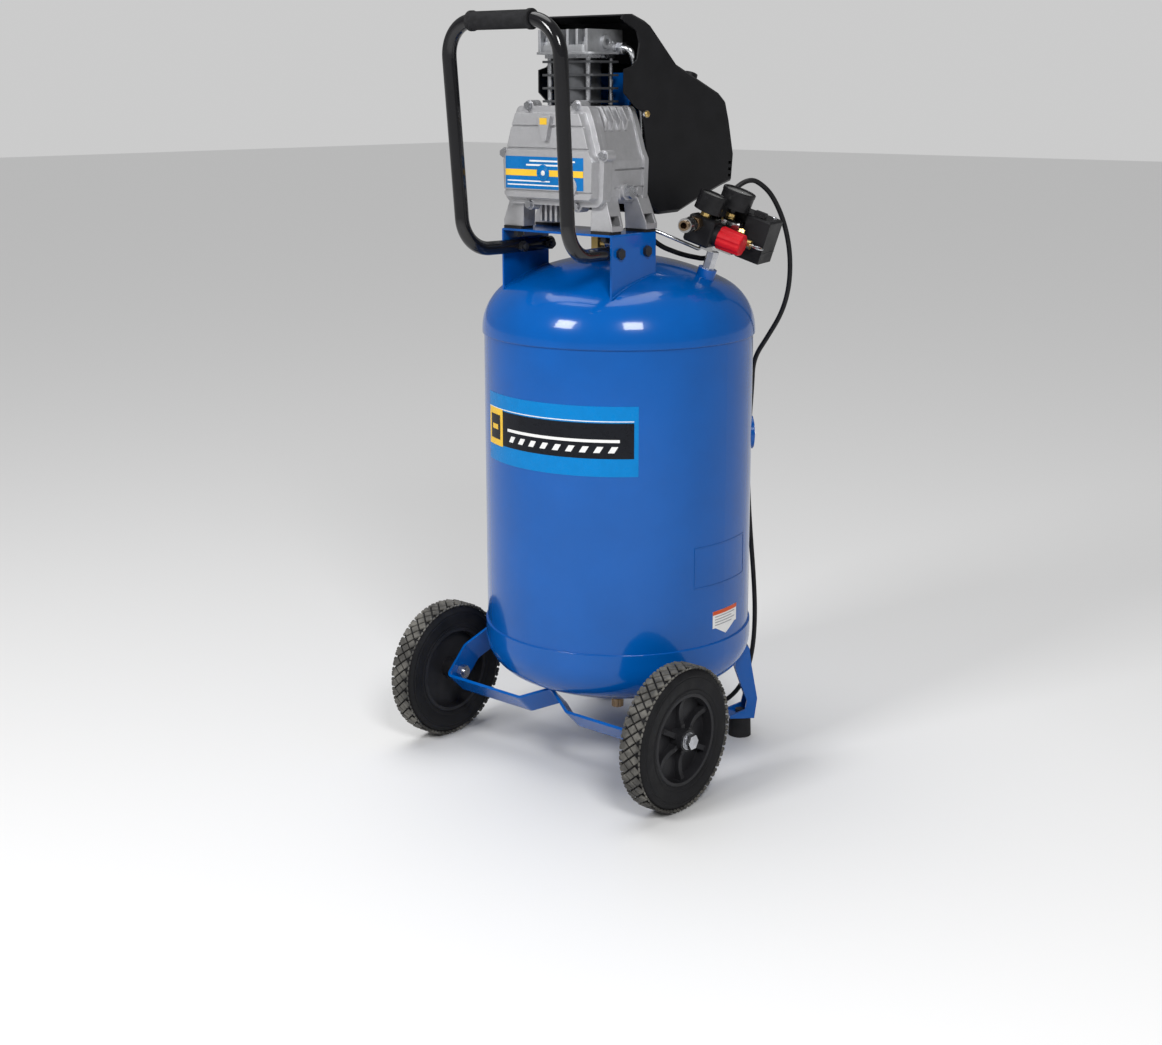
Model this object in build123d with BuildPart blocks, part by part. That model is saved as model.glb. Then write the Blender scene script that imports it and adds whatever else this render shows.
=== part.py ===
from build123d import *
import os
from math import atan2, cos, hypot, pi, radians, sin, sqrt, tan

# Portable vertical air compressor: a 60-litre tank on two wheels and two rubber feet, with a
# direct-driven oil-lubricated pump on a saddle, a push handle and a pressure manifold.
# Millimetres, +Z up, front (handle and wheels) towards -Y, right wheel towards +X.
# The origin is on the floor under the middle of the compressor's bounding box.

# ---- tank ----
TANK_Y = 27.0  # the tank's upright axis stands at x = 0, y = TANK_Y
TANK_R = 190.0  # shell, outside
TANK_WALL = 2.5
HEAD_R = TANK_R + TANK_WALL  # the heads lap over the shell
SEAM_LOW, SEAM_HIGH = 194.0, 613.0  # edges of the two heads
SEAM_LAP = 4.0
TOP_KNUCKLE_Z, TOP_RISE, TOP_KNUCKLE = 617.0, 104.0, 76.0
LOW_KNUCKLE_Z, LOW_RISE, LOW_KNUCKLE = 174.0, 88.0, 56.0
BUNG_R, BUNG_BORE = 13.0, 7.0
PORT_ANGLE, PORT_Z, PORT_R, PORT_PROUD = 45.0, 462.0, 24.0, 4.0

# ---- wheels, strap and rear feet ----
WHEEL_R, TYRE_WIDTH, WHEEL_X = 100.0, 38.5, 214.9
RIM_R, HUB_CORE_R = 63.0, 15.0
AXLE_Y = TANK_Y - 140.0
AXLE_R, RUN_GAP = 6.0, 0.08
STRAP_T, STRAP_W, STRAP_X = 4.0, 38.0, 188.0
FOOT_RADIUS, FOOT_R, FOOT_H = 184.0, 17.0, 31.0  # distance from the tank's axis, and the foot

# ---- saddle and handle ----
SADDLE_TOP, SADDLE_HALF, SADDLE_T = 760.0, 98.0, 3.0
SADDLE_FRONT, SADDLE_REAR = TANK_Y - 134.0, TANK_Y - 41.0
TUBE_R, TUBE_WALL, TUBE_Z = 9.5, 1.5, 735.0
TUBE_X = SADDLE_HALF - SADDLE_T - TUBE_R
HANDLE_HALF, HANDLE_Y, HANDLE_Z = 97.0, TANK_Y - 235.0, 1032.0
GRIP_R, GRIP_HALF = 11.5, 54.0
M8 = 4.0  # shank radius of the frame bolts

# ---- pump ----
PAD_T = 4.0
FOOT_Z = SADDLE_TOP + PAD_T
PUMP_Y = TANK_Y - 82.0  # cylinder axis
CRANK_Z, THROW, ROD_LENGTH, CROWN = 862.0, 20.0, 90.0, 13.0
CASE_FRONT, CASE_REAR, CASE_TOP, CASE_BOTTOM = TANK_Y - 130.0, TANK_Y - 45.0, 925.0, 795.0
CASE_WALL = 7.0
COVER_T, COVER_PROUD = 8.0, 13.0
BORE_R, BARREL_R, PISTON_GAP = 23.5, 28.0, 0.05
BLOCK_TOP = CRANK_Z + THROW + ROD_LENGTH + CROWN + 1.5
FIN_W, FIN_D, FIN_T = 89.0, 60.0, 3.0
STUD_X, STUD_Y, STUD_R = 33.5, 23.0, 3.5
PLATE_T = 5.0
HEAD_W, HEAD_D, HEAD_FLANGE, HEAD_H = 100.0, 80.0, 3.0, 32.0
SHAFT_R, PIN_R = 10.0, 7.0

# ---- motor and shroud ----
STATOR_R, STATOR_FRONT, STATOR_REAR = 66.0, TANK_Y - 12.0, TANK_Y + 72.0
ROTOR_R = 38.0
BELL_R = 58.0
FAN_R, FAN_FRONT, FAN_REAR = 51.0, TANK_Y + 98.0, TANK_Y + 118.0
SHROUD_HALF, SHROUD_WALL = 76.0, 2.5
CABLE_X, CABLE_Y = 26.0, TANK_Y + 20.0  # where the motor's cable leaves the shroud

# ---- manifold: a frame of its own, tilted outwards with the tank's head ----
BUNG_X, BUNG_Y = 125.0, TANK_Y + 35.0
TILT, TILT_AZIMUTH = radians(18.0), radians(14.0)
BUNG_H, NIPPLE_H, NIPPLE_FLATS = 12.0, 25.0, 15.0
SWITCH_TOP = 62.0
KNOB_R, KNOB_L = 16.0, 34.0
COUPLER_R, COUPLER_L = 7.0, 46.0

TANK_AXIS = Axis((0, TANK_Y, 0), (0, 0, 1))
TANK_PLANE = Plane(origin=(0, TANK_Y, 0), x_dir=(1, 0, 0), z_dir=(0, -1, 0))

os.makedirs("parts", exist_ok=True)


def upright(x, y, z):
    """A level plane at a point."""
    return Plane(origin=(x, y, z))


def facing(x, y, z, normal, x_dir=None):
    """A plane at a point, facing along normal."""
    return Plane(origin=(x, y, z), z_dir=normal, x_dir=x_dir)


def front_plane(y):
    """A plane that faces the front: its x runs along +X and its y along +Z."""
    return Plane(origin=(0, y, 0), x_dir=(1, 0, 0), z_dir=(0, -1, 0))


def disc(plane, radius, length, mode=Mode.ADD):
    """Add or cut a cylinder that stands on a plane."""
    with BuildSketch(plane) as outline:
        Circle(radius)
    extrude(outline.sketch, amount=length, mode=mode)


def ring(plane, outer, inner, length):
    """Add a short pipe that stands on a plane."""
    with BuildSketch(plane) as outline:
        Circle(outer)
        Circle(inner, mode=Mode.SUBTRACT)
    extrude(outline.sketch, amount=length)


def block(plane, width, depth, height, mode=Mode.ADD):
    """Add or cut a rectangular block that stands on a plane."""
    with BuildSketch(plane) as outline:
        Rectangle(width, depth)
    extrude(outline.sketch, amount=height, mode=mode)


def hexagon(plane, flats, length, mode=Mode.ADD):
    """Add or cut a hexagonal prism that stands on a plane."""
    with BuildSketch(plane) as outline:
        RegularPolygon(flats / 2, 6, major_radius=False)
    extrude(outline.sketch, amount=length, mode=mode)


def bolt(plane, radius, length, flats, head, nut_at=None):
    """Add a hex bolt: its head stands on the plane and its shank runs back from it."""
    hexagon(plane, flats, head)
    disc(plane, radius, -length)
    if nut_at is not None:
        hexagon(plane.offset(-nut_at), flats, -radius * 1.6)


def slab(points, plane, depth, both=False, mode=Mode.ADD):
    """Extrude a closed outline of straight edges."""
    with BuildSketch(plane) as outline:
        with BuildLine():
            Polyline(*points, close=True)
        make_face()
    extrude(outline.sketch, amount=depth, both=both, mode=mode)


def mirrored(points):
    """A closed outline from its right half, listed upwards."""
    return list(points) + [(-x, z) for x, z in reversed(points)]


def pipe(route, radii, radius, bore=0.0):
    """A round tube along straight runs joined by tangent arcs."""
    with BuildLine() as path:
        FilletPolyline(*route, radius=radii)
    with BuildPart() as tube:
        with BuildSketch(Plane(origin=path.line @ 0, z_dir=path.line % 0)) as section:
            Circle(radius)
            if bore:
                Circle(bore, mode=Mode.SUBTRACT)
        sweep(section.sketch, path=path.line)
    return tube.part


def cord_radii(route, share=0.45):
    """The largest arc that the runs on either side of each corner leave room for."""
    points = [Vector(*p) for p in route]
    radii = []
    for before, corner, after in zip(points, points[1:], points[2:]):
        turn = radians((corner - before).get_angle(after - corner))
        run = min((corner - before).length, (after - corner).length)
        radii.append(share * run / tan(turn / 2))
    return radii


def write(part, name):
    """Label a finished piece and write its STEP file."""
    part.label = name
    export_step(part, f"parts/{name}.step")


# ==================================================================== tank
def crown_radius(radius, rise, knuckle):
    """The crown of a dished head that meets its knuckle without a corner."""
    return ((radius - knuckle) ** 2 + rise**2 - knuckle**2) / (2 * (rise - knuckle))


def dished(radius, base, rise, knuckle, up):
    """The knuckle and crown of a dished head: its arcs from the rim to the axis."""
    crown = crown_radius(radius, rise, knuckle)
    corner = Vector(radius - knuckle, 0)
    middle = Vector(0, rise - crown)
    lean = atan2(corner.Y - middle.Y, corner.X - middle.X)

    def at(centre, r, angle):
        return (centre.X + r * cos(angle), base + up * (centre.Y + r * sin(angle)))

    rim = at(corner, knuckle, 0)
    joint = at(corner, knuckle, lean)
    ThreePointArc(rim, at(corner, knuckle, lean / 2), joint)
    ThreePointArc(joint, at(middle, crown, (lean + pi / 2) / 2), (0, base + up * rise))


def head_solid(seam, base, rise, knuckle, up, grow=0.0):
    """A dished head, solid through, from its seam to its crown."""
    with BuildPart() as solid:
        with BuildSketch(TANK_PLANE) as half:
            with BuildLine():
                dished(HEAD_R + grow, base, rise + grow, knuckle + grow, up)
                Polyline((0, base + up * (rise + grow)), (0, seam), (HEAD_R + grow, seam))
                Line((HEAD_R + grow, seam), (HEAD_R + grow, base))
            make_face()
        revolve(half.sketch, axis=TANK_AXIS)
    return solid.part


def dome_height(radius):
    """Height of the top head's outside at a distance from the tank's axis."""
    crown = crown_radius(HEAD_R, TOP_RISE, TOP_KNUCKLE)
    return TOP_KNUCKLE_Z + TOP_RISE - crown + sqrt(crown**2 - radius**2)


MANIFOLD_UP = Vector(
    sin(TILT) * cos(TILT_AZIMUTH), sin(TILT) * sin(TILT_AZIMUTH), cos(TILT)
)
MANIFOLD_OUT = Vector(
    cos(TILT) * cos(TILT_AZIMUTH), cos(TILT) * sin(TILT_AZIMUTH), -sin(TILT)
)
BUNG_FOOT = Vector(BUNG_X, BUNG_Y, dome_height(hypot(BUNG_X, BUNG_Y - TANK_Y)))
BUNG_PLANE = Plane(origin=BUNG_FOOT, x_dir=MANIFOLD_OUT, z_dir=MANIFOLD_UP)
MANIFOLD = BUNG_PLANE.offset(BUNG_H + NIPPLE_H)
CHECK_Y = TANK_Y - 43.0
CHECK_Z = dome_height(TANK_Y - CHECK_Y)
DRAIN_Z = LOW_KNUCKLE_Z - LOW_RISE
CHECK_PLANE = upright(0, CHECK_Y, CHECK_Z)
DRAIN_PLANE = facing(0, TANK_Y, DRAIN_Z, (0, 0, -1))
PORT_OUT = Vector(cos(radians(PORT_ANGLE)), sin(radians(PORT_ANGLE)), 0)
PORT_PLANE = Plane(origin=Vector(0, TANK_Y, PORT_Z) + PORT_OUT * TANK_R, z_dir=PORT_OUT)

top_form = head_solid(SEAM_HIGH, TOP_KNUCKLE_Z, TOP_RISE, TOP_KNUCKLE, 1)
top_room = head_solid(SEAM_HIGH - 1, TOP_KNUCKLE_Z, TOP_RISE, TOP_KNUCKLE, 1, -TANK_WALL)
low_form = head_solid(SEAM_LOW, LOW_KNUCKLE_Z, LOW_RISE, LOW_KNUCKLE, -1)
low_room = head_solid(SEAM_LOW + 1, LOW_KNUCKLE_Z, LOW_RISE, LOW_KNUCKLE, -1, -TANK_WALL)

with BuildPart() as top_head:
    add(top_form)
    add(top_room, mode=Mode.SUBTRACT)
    disc(BUNG_PLANE.offset(-20), BUNG_R, 40, mode=Mode.SUBTRACT)
    disc(CHECK_PLANE.offset(-20), BUNG_R, 40, mode=Mode.SUBTRACT)
write(top_head.part, "top_head")

with BuildPart() as bottom_head:
    add(low_form)
    add(low_room, mode=Mode.SUBTRACT)
    disc(DRAIN_PLANE.offset(-20), BUNG_R, 40, mode=Mode.SUBTRACT)
write(bottom_head.part, "bottom_head")

# The shell reaches into both heads, behind the seams.
with BuildPart() as tank_shell:
    ring(upright(0, TANK_Y, SEAM_LOW - SEAM_LAP), TANK_R, TANK_R - TANK_WALL,
         SEAM_HIGH - SEAM_LOW + 2 * SEAM_LAP)
    disc(PORT_PLANE.offset(-30), PORT_R, 60, mode=Mode.SUBTRACT)
write(tank_shell.part, "tank_shell")

# Threaded bungs welded through the tank: manifold, check valve, drain and inspection port.
BUNG_DEEP = 8.0
PLUG_R = 15.0
with BuildPart() as tank_bungs:
    ring(BUNG_PLANE.offset(-BUNG_DEEP), BUNG_R, BUNG_BORE, BUNG_DEEP + BUNG_H)
    ring(CHECK_PLANE.offset(-BUNG_DEEP), BUNG_R, BUNG_BORE, BUNG_DEEP + BUNG_H)
    ring(DRAIN_PLANE.offset(-BUNG_DEEP), BUNG_R, BUNG_BORE, BUNG_DEEP + 6)
    ring(PORT_PLANE.offset(-6), PORT_R, PLUG_R, 6 + PORT_PROUD)
write(tank_bungs.part, "tank_bungs")

# ==================================================================== wheels and legs
HUB_INNER = STRAP_X + STRAP_T / 2 + 1.2
HUB_OUTER = WHEEL_X + TYRE_WIDTH / 2 + 2.0
DISH = 9.0
SPOKES = 6


def axle_plane(side, x):
    """A plane across the axle line, facing outwards on that side."""
    return facing(side * x, AXLE_Y, WHEEL_R, (side, 0, 0), (0, 1, 0))


for side, word in ((1, "right"), (-1, "left")):
    axle_axis = Axis((0, AXLE_Y, WHEEL_R), (1, 0, 0))
    section_plane = Plane(origin=(0, AXLE_Y, WHEEL_R), x_dir=(side, 0, 0), z_dir=(0, -side, 0))
    half = TYRE_WIDTH / 2
    with BuildPart() as tyre:
        with BuildSketch(section_plane) as tyre_half:
            with BuildLine():
                Polyline((WHEEL_X - half + 2, RIM_R), (WHEEL_X + half - 2, RIM_R))
                Line((WHEEL_X + half - 2, RIM_R), (WHEEL_X + half, RIM_R + 12))
                Line((WHEEL_X + half, RIM_R + 12), (WHEEL_X + half, WHEEL_R - 12))
                ThreePointArc((WHEEL_X + half, WHEEL_R - 12), (WHEEL_X + half - 3.5, WHEEL_R - 3.5),
                              (WHEEL_X + half - 10, WHEEL_R))
                Line((WHEEL_X + half - 10, WHEEL_R), (WHEEL_X - half + 10, WHEEL_R))
                ThreePointArc((WHEEL_X - half + 10, WHEEL_R), (WHEEL_X - half + 3.5, WHEEL_R - 3.5),
                              (WHEEL_X - half, WHEEL_R - 12))
                Line((WHEEL_X - half, WHEEL_R - 12), (WHEEL_X - half, RIM_R + 12))
                Line((WHEEL_X - half, RIM_R + 12), (WHEEL_X - half + 2, RIM_R))
            make_face()
        revolve(tyre_half.sketch, axis=axle_axis)
    write(tyre.part, f"{word}_tyre")
    # Hub: rim, dished web, core, and ribs across the dish.
    with BuildPart() as hub:
        rim_face = WHEEL_X + half - 2
        web = WHEEL_X - 3
        ring(axle_plane(side, WHEEL_X - half + 2), RIM_R, RIM_R - 5, TYRE_WIDTH - 4)
        ring(axle_plane(side, web), RIM_R - 4, HUB_CORE_R - 1, 5)
        ring(axle_plane(side, HUB_INNER), HUB_CORE_R, AXLE_R + RUN_GAP, HUB_OUTER - HUB_INNER)
        for spoke in range(SPOKES):
            angle = radians(spoke * 360 / SPOKES + 90)
            reach = (HUB_CORE_R + RIM_R - 5) / 2
            outward = axle_plane(side, web)
            middle = outward.from_local_coords((reach * cos(angle), reach * sin(angle), 5))
            along = outward.from_local_coords((cos(angle), sin(angle), 0)) - outward.origin
            rib = Plane(origin=middle, x_dir=along, z_dir=(side, 0, 0))
            block(rib, RIM_R - 4 - HUB_CORE_R, 7, rim_face - web - 5 - DISH / 2)
        with BuildSketch(section_plane) as dish:
            with BuildLine():
                Polyline((rim_face + 5, HUB_CORE_R + 6), (rim_face + 5, RIM_R - 4), (rim_face - 2, RIM_R - 5))
                ThreePointArc((rim_face - 2, RIM_R - 5), (rim_face - DISH, (RIM_R + HUB_CORE_R) / 2),
                              (rim_face - 5, HUB_CORE_R + 6))
                Line((rim_face - 5, HUB_CORE_R + 6), (rim_face + 5, HUB_CORE_R + 6))
            make_face()
        revolve(dish.sketch, axis=axle_axis, mode=Mode.SUBTRACT)
    write(hub.part, f"{word}_hub")

# Axle bolts, with a flange under the head and a nut inside the strap.
with BuildPart() as axle_bolts:
    for side in (1, -1):
        seat = axle_plane(side, HUB_OUTER + 0.4)
        disc(seat, 11, 2)
        hexagon(seat.offset(2), 18, 7)
        disc(seat, AXLE_R, -(HUB_OUTER + 0.4 - STRAP_X + STRAP_T / 2 + 12))
        nut = axle_plane(side, STRAP_X - STRAP_T / 2)
        hexagon(nut, 18, -9)
write(axle_bolts.part, "axle_bolts")

# One flat bar bent to a shallow W, tilted 45 degrees, coped to the tank's lower head.
STRAP_PLANE = Plane(origin=(0, AXLE_Y, WHEEL_R), x_dir=(1, 0, 0), z_dir=(0, -sin(pi / 4), cos(pi / 4)))
strap_half = [(0, 9), (44.5, -18), (STRAP_X, -18), (STRAP_X, 34), (STRAP_X - 34, 88)]
strap_line = [(-x, y) for x, y in reversed(strap_half[1:])] + strap_half
with BuildPart() as wheel_strap:
    with BuildSketch(STRAP_PLANE) as bar:
        with BuildLine():
            FilletPolyline(*strap_line, radius=[10.0, 7.0, 10.0, 10.0, 10.0, 7.0, 10.0])
        trace(line_width=STRAP_T)
    extrude(bar.sketch, amount=STRAP_W / 2, both=True)
    add(low_form, mode=Mode.SUBTRACT)
    disc(upright(0, TANK_Y, SEAM_LOW - 60), TANK_R, 200, mode=Mode.SUBTRACT)
    for side in (1, -1):
        disc(axle_plane(side, STRAP_X - 10), AXLE_R + 0.05, 20, mode=Mode.SUBTRACT)
write(wheel_strap.part, "wheel_strap")


def radial_plane(angle):
    """An upright plane through the tank's axis: x runs outwards and y up."""
    out = Vector(cos(radians(angle)), sin(radians(angle)), 0)
    return Plane(origin=(0, TANK_Y, 0), x_dir=out, z_dir=out.cross(Vector(0, 0, 1)))


# Rear legs: pressed channels whose web turns in under the tank and carries a rubber foot.
LEG_W, LEG_T = 36.0, 4.0
leg_outline = [(172, 112), (183, 150), (193.5, 140), (197, 114), (206.5, 62), (202.5, FOOT_H),
               (166, FOOT_H), (166, FOOT_H + LEG_T), (188, 44), (191, 58)]
leg_hollow = [(150, 170), (188, 170), (192, 114), (201.5, 62), (198, FOOT_H + LEG_T), (150, FOOT_H + LEG_T)]
LEG_ANGLES = (45.0, 135.0)
with BuildPart() as rear_legs:
    for angle in LEG_ANGLES:
        plane = radial_plane(angle)
        slab(leg_outline, plane, LEG_W / 2, both=True)
        slab(leg_hollow, plane, LEG_W / 2 - LEG_T, both=True, mode=Mode.SUBTRACT)
        spot = plane.from_local_coords((FOOT_RADIUS, FOOT_H, 0))
        disc(upright(spot.X, spot.Y, FOOT_H - 5), M8 + 0.1, 15, mode=Mode.SUBTRACT)
    add(low_form, mode=Mode.SUBTRACT)
write(rear_legs.part, "rear_legs")

with BuildPart() as rubber_feet:
    for angle in LEG_ANGLES:
        spot = radial_plane(angle).from_local_coords((FOOT_RADIUS, 0, 0))
        with BuildSketch(upright(spot.X, spot.Y, 0)) as sole:
            Circle(FOOT_R)
        extrude(sole.sketch, amount=FOOT_H, taper=2)
        disc(upright(spot.X, spot.Y, FOOT_H), M8 + 0.1, -18, mode=Mode.SUBTRACT)
write(rubber_feet.part, "rubber_feet")

# ==================================================================== saddle and handle
HANDLE_BOLT_Y = (TANK_Y - 118.0, TANK_Y - 62.0)
PUMP_FEET = [(sx * x, TANK_Y + y) for sx in (1, -1) for x, y in ((78.0, -121.0), (82.0, -54.0))]
with BuildPart() as saddle_bracket:
    depth = SADDLE_REAR - SADDLE_FRONT
    middle = (SADDLE_REAR + SADDLE_FRONT) / 2
    block(upright(0, middle, SADDLE_TOP - SADDLE_T), 2 * SADDLE_HALF, depth, SADDLE_T)
    for side in (1, -1):
        block(upright(side * (SADDLE_HALF - SADDLE_T / 2), middle, SEAM_HIGH + 30), SADDLE_T, depth,
              SADDLE_TOP - SEAM_HIGH - 30)
    fold = saddle_bracket.edges().filter_by(Axis.Y).group_by(Axis.Z)[-1]
    fillet(fold, SADDLE_T - 0.2)
    add(top_form, mode=Mode.SUBTRACT)
    for x, y in PUMP_FEET:
        disc(upright(x, y, SADDLE_TOP - 10), M8 + 0.1, 20, mode=Mode.SUBTRACT)
    for y in HANDLE_BOLT_Y:
        disc(facing(-SADDLE_HALF - 5, y, TUBE_Z, (1, 0, 0)), M8 + 0.1, 2 * SADDLE_HALF + 10,
             mode=Mode.SUBTRACT)
write(saddle_bracket.part, "saddle_bracket")

handle_side = [
    (TUBE_X, TANK_Y - 48, TUBE_Z),
    (TUBE_X, TANK_Y - 150, TUBE_Z),
    (93, TANK_Y - 213, TUBE_Z),
    (HANDLE_HALF, HANDLE_Y, HANDLE_Z),
]
handle_route = handle_side + [(-x, y, z) for x, y, z in reversed(handle_side)]
handle_radii = [90.0, 46.0, 46.0, 46.0, 46.0, 90.0]
handle_form = pipe(handle_route, handle_radii, TUBE_R, TUBE_R - TUBE_WALL)
with BuildPart() as handle_tube:
    add(handle_form)
    for y in HANDLE_BOLT_Y:
        disc(facing(-SADDLE_HALF, y, TUBE_Z, (1, 0, 0)), M8 + 0.1, 2 * SADDLE_HALF, mode=Mode.SUBTRACT)
write(handle_tube.part, "handle_tube")

with BuildPart() as handle_grip:
    grip_end = facing(-GRIP_HALF, HANDLE_Y, HANDLE_Z, (1, 0, 0))
    ring(grip_end, GRIP_R, TUBE_R + 0.05, 2 * GRIP_HALF)
    for end in (0, 2 * GRIP_HALF - 6):
        ring(grip_end.offset(end), GRIP_R + 1.6, TUBE_R + 0.05, 6)
write(handle_grip.part, "handle_grip")

# Frame bolts: handle to saddle, pump to saddle, rubber feet to legs.
with BuildPart() as frame_bolts:
    for side in (1, -1):
        for y in HANDLE_BOLT_Y:
            reach = SADDLE_T + 2 * TUBE_R
            bolt(facing(side * SADDLE_HALF, y, TUBE_Z, (side, 0, 0)), M8, reach + 10, 13, 5, reach)
    for x, y in PUMP_FEET:
        bolt(upright(x, y, FOOT_Z + 7), M8, 7 + PAD_T + SADDLE_T + 9, 13, 5.5, 7 + PAD_T + SADDLE_T)
    for angle in LEG_ANGLES:
        spot = radial_plane(angle).from_local_coords((FOOT_RADIUS, 0, 0))
        bolt(upright(spot.X, spot.Y, FOOT_H + LEG_T), M8, LEG_T + 16, 13, 5)
write(frame_bolts.part, "frame_bolts")

# ==================================================================== pump
case_half = [(76, CASE_BOTTOM), (86, CASE_BOTTOM + 8), (88, 856), (82, 868), (71, 904), (62, CASE_TOP)]
ear_spots = [(42, CASE_TOP), (87, 862), (42, CASE_BOTTOM)]
EARS = ear_spots + [(-x, z) for x, z in ear_spots]
EAR_R = 7.5


def case_outline(inset=0.0, ears=True, corner=9.0):
    """The pump case's outline seen from the front, as a sketch at the origin's front plane."""
    with BuildSketch(front_plane(0)) as outline:
        with BuildLine():
            Polyline(*mirrored(case_half), close=True)
        make_face()
        fillet(outline.vertices(), corner)
        if inset:
            offset(amount=-inset, kind=Kind.INTERSECTION)
        if ears:
            with Locations(*EARS):
                Circle(EAR_R)
    return outline.sketch


def case_slice(y_from, y_to, mode=Mode.ADD, **shape):
    """Extrude the pump case's outline between two depths."""
    face = case_outline(**shape).moved(Location((0, y_from, 0)))
    extrude(face, amount=y_from - y_to, mode=mode)


FOOT_T, FOOT_D = 7.0, 23.0
with BuildPart() as crankcase:
    case_slice(CASE_FRONT, CASE_FRONT + 9)
    case_slice(CASE_FRONT + 9, CASE_REAR - 9, inset=3.0, ears=False)
    case_slice(CASE_REAR - 9, CASE_REAR, ears=False)
    # legs that flare to the saddle's corners
    for x, y in PUMP_FEET:
        front = y < PUMP_Y
        out = 1 if x > 0 else -1
        with BuildSketch(upright(out * 72, y + (4 if front else 1), CASE_BOTTOM + 14)) as top:
            Rectangle(22, 24)
        with BuildSketch(upright(x, y + 1, FOOT_Z + FOOT_T)) as bottom:
            Rectangle(36, FOOT_D)
        loft([bottom.sketch.face(), top.sketch.face()])
        block(upright(x, y + 1, FOOT_Z), 36, FOOT_D, FOOT_T)
        pocket = upright(x, y, FOOT_Z + FOOT_T)
        disc(pocket, 8.5, 13, mode=Mode.SUBTRACT)
        block(upright(x + out * 15, y, FOOT_Z + FOOT_T), 30, 17, 13, mode=Mode.SUBTRACT)
    # crankcase room, bearing seat and cylinder hole
    case_slice(CASE_FRONT - 1, CASE_REAR - 16, mode=Mode.SUBTRACT, inset=CASE_WALL + 3, ears=False)
    disc(facing(0, CASE_REAR - 30, CRANK_Z, (0, 1, 0)), 17.5, 60, mode=Mode.SUBTRACT)
    disc(upright(0, PUMP_Y, CASE_TOP - 30), BARREL_R - 3, 60, mode=Mode.SUBTRACT)
    # side grooves and shoulder ribs
    for side in (1, -1):
        for z in (818.0, 842.0, 876.0):
            block(upright(side * 92, PUMP_Y, z), 20, CASE_REAR - CASE_FRONT - 26, 2.2,
                  mode=Mode.SUBTRACT)
        for step in range(4):
            rib = facing(0, CASE_FRONT + 16 + 14 * step, 0, (0, -side, 0), (side, 0, 0))
            slab([(52, CASE_TOP - 6), (52, CASE_TOP), (66, CASE_TOP - 1), (76, CASE_TOP - 18),
                  (72, CASE_TOP - 32), (64, CASE_TOP - 20)], rib, 4)
    # oil drain boss low on the right side, and cooling fins under the sump
    disc(facing(70, PUMP_Y - 8, 814, (1, 0, 0)), 11, 19)
    disc(facing(70, PUMP_Y + 18, 814, (1, 0, 0)), 6, 18)
    for fin in range(5):
        block(upright(-36 + 9 * fin, PUMP_Y - 28, FOOT_Z + 8), 4, 26, CASE_BOTTOM - FOOT_Z)
    for x, y in PUMP_FEET:
        disc(upright(x, y, FOOT_Z - 5), M8 + 0.1, 20, mode=Mode.SUBTRACT)
    for x, z in EARS:
        disc(facing(x, CASE_FRONT - 1, z, (0, 1, 0)), 3.1, 9, mode=Mode.SUBTRACT)
write(crankcase.part, "crankcase")

# Cover: flange, raised pan with steps, a tapered rib, and the sight glass's hole.
SIGHT_X, SIGHT_Z, SIGHT_R = 38.0, 821.0, 12.0
COVER_FRONT = CASE_FRONT - COVER_T - COVER_PROUD
with BuildPart() as crankcase_cover:
    case_slice(CASE_FRONT - COVER_T, CASE_FRONT)
    pan = case_outline(inset=8.0, ears=False).moved(Location((0, CASE_FRONT - COVER_T, 0)))
    extrude(pan, amount=COVER_PROUD, taper=8)
    case_slice(CASE_FRONT - COVER_T - COVER_PROUD + 5, CASE_FRONT, mode=Mode.SUBTRACT, inset=15.0,
               ears=False)
    for z in (812.0, 868.0, 897.0):
        block(upright(0, COVER_FRONT, z), 180, 5, 3, mode=Mode.SUBTRACT)
    wedge = [(-12, 912), (12, 912), (4, 880), (-4, 880)]
    slab(wedge, front_plane(COVER_FRONT + 3), 9)
    disc(facing(SIGHT_X, COVER_FRONT + 3, SIGHT_Z, (0, -1, 0)), SIGHT_R + 3, 5)
    disc(facing(SIGHT_X, COVER_FRONT - 5, SIGHT_Z, (0, 1, 0)), SIGHT_R - 2, 20, mode=Mode.SUBTRACT)
    for x, z in EARS:
        disc(facing(x, CASE_FRONT - COVER_T - 1, z, (0, 1, 0)), 3.1, COVER_T + 2, mode=Mode.SUBTRACT)
write(crankcase_cover.part, "crankcase_cover")

with BuildPart() as sight_glass:
    glass = facing(SIGHT_X, COVER_FRONT - 2, SIGHT_Z, (0, -1, 0))
    ring(glass, SIGHT_R, SIGHT_R - 4, 4)
    disc(glass, SIGHT_R - 4, 2)
write(sight_glass.part, "sight_glass")

with BuildPart() as case_screws:
    for x, z in EARS:
        seat = facing(x, CASE_FRONT - COVER_T, z, (0, -1, 0))
        bolt(seat, 3.0, COVER_T + 6, 10, 5)
    for side in (1, -1):
        disc(facing(side * SHROUD_HALF, TANK_Y - 38, 914, (side, 0, 0)), 5, 3)
write(case_screws.part, "case_screws")

# Threaded plugs: oil drain on the pump, inspection port on the tank.
with BuildPart() as pipe_plugs:
    hexagon(facing(89, PUMP_Y - 8, 814, (1, 0, 0)), 15, 8)
    disc(PORT_PLANE.offset(-5), PLUG_R, 5 + PORT_PROUD)
    hexagon(PORT_PLANE.offset(PORT_PROUD), 24, 2.5)
write(pipe_plugs.part, "pipe_plugs")

with BuildPart() as pump_pads:
    for x, y in PUMP_FEET:
        front = y < PUMP_Y
        pad = upright(x, y + (-1 if front else 0), SADDLE_TOP)
        with BuildSketch(pad) as rubber:
            Rectangle(32, 24)
            with Locations((0, 1 if front else 0)):
                Circle(M8 + 0.1, mode=Mode.SUBTRACT)
        extrude(rubber.sketch, amount=PAD_T)
write(pump_pads.part, "pump_pads")

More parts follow.
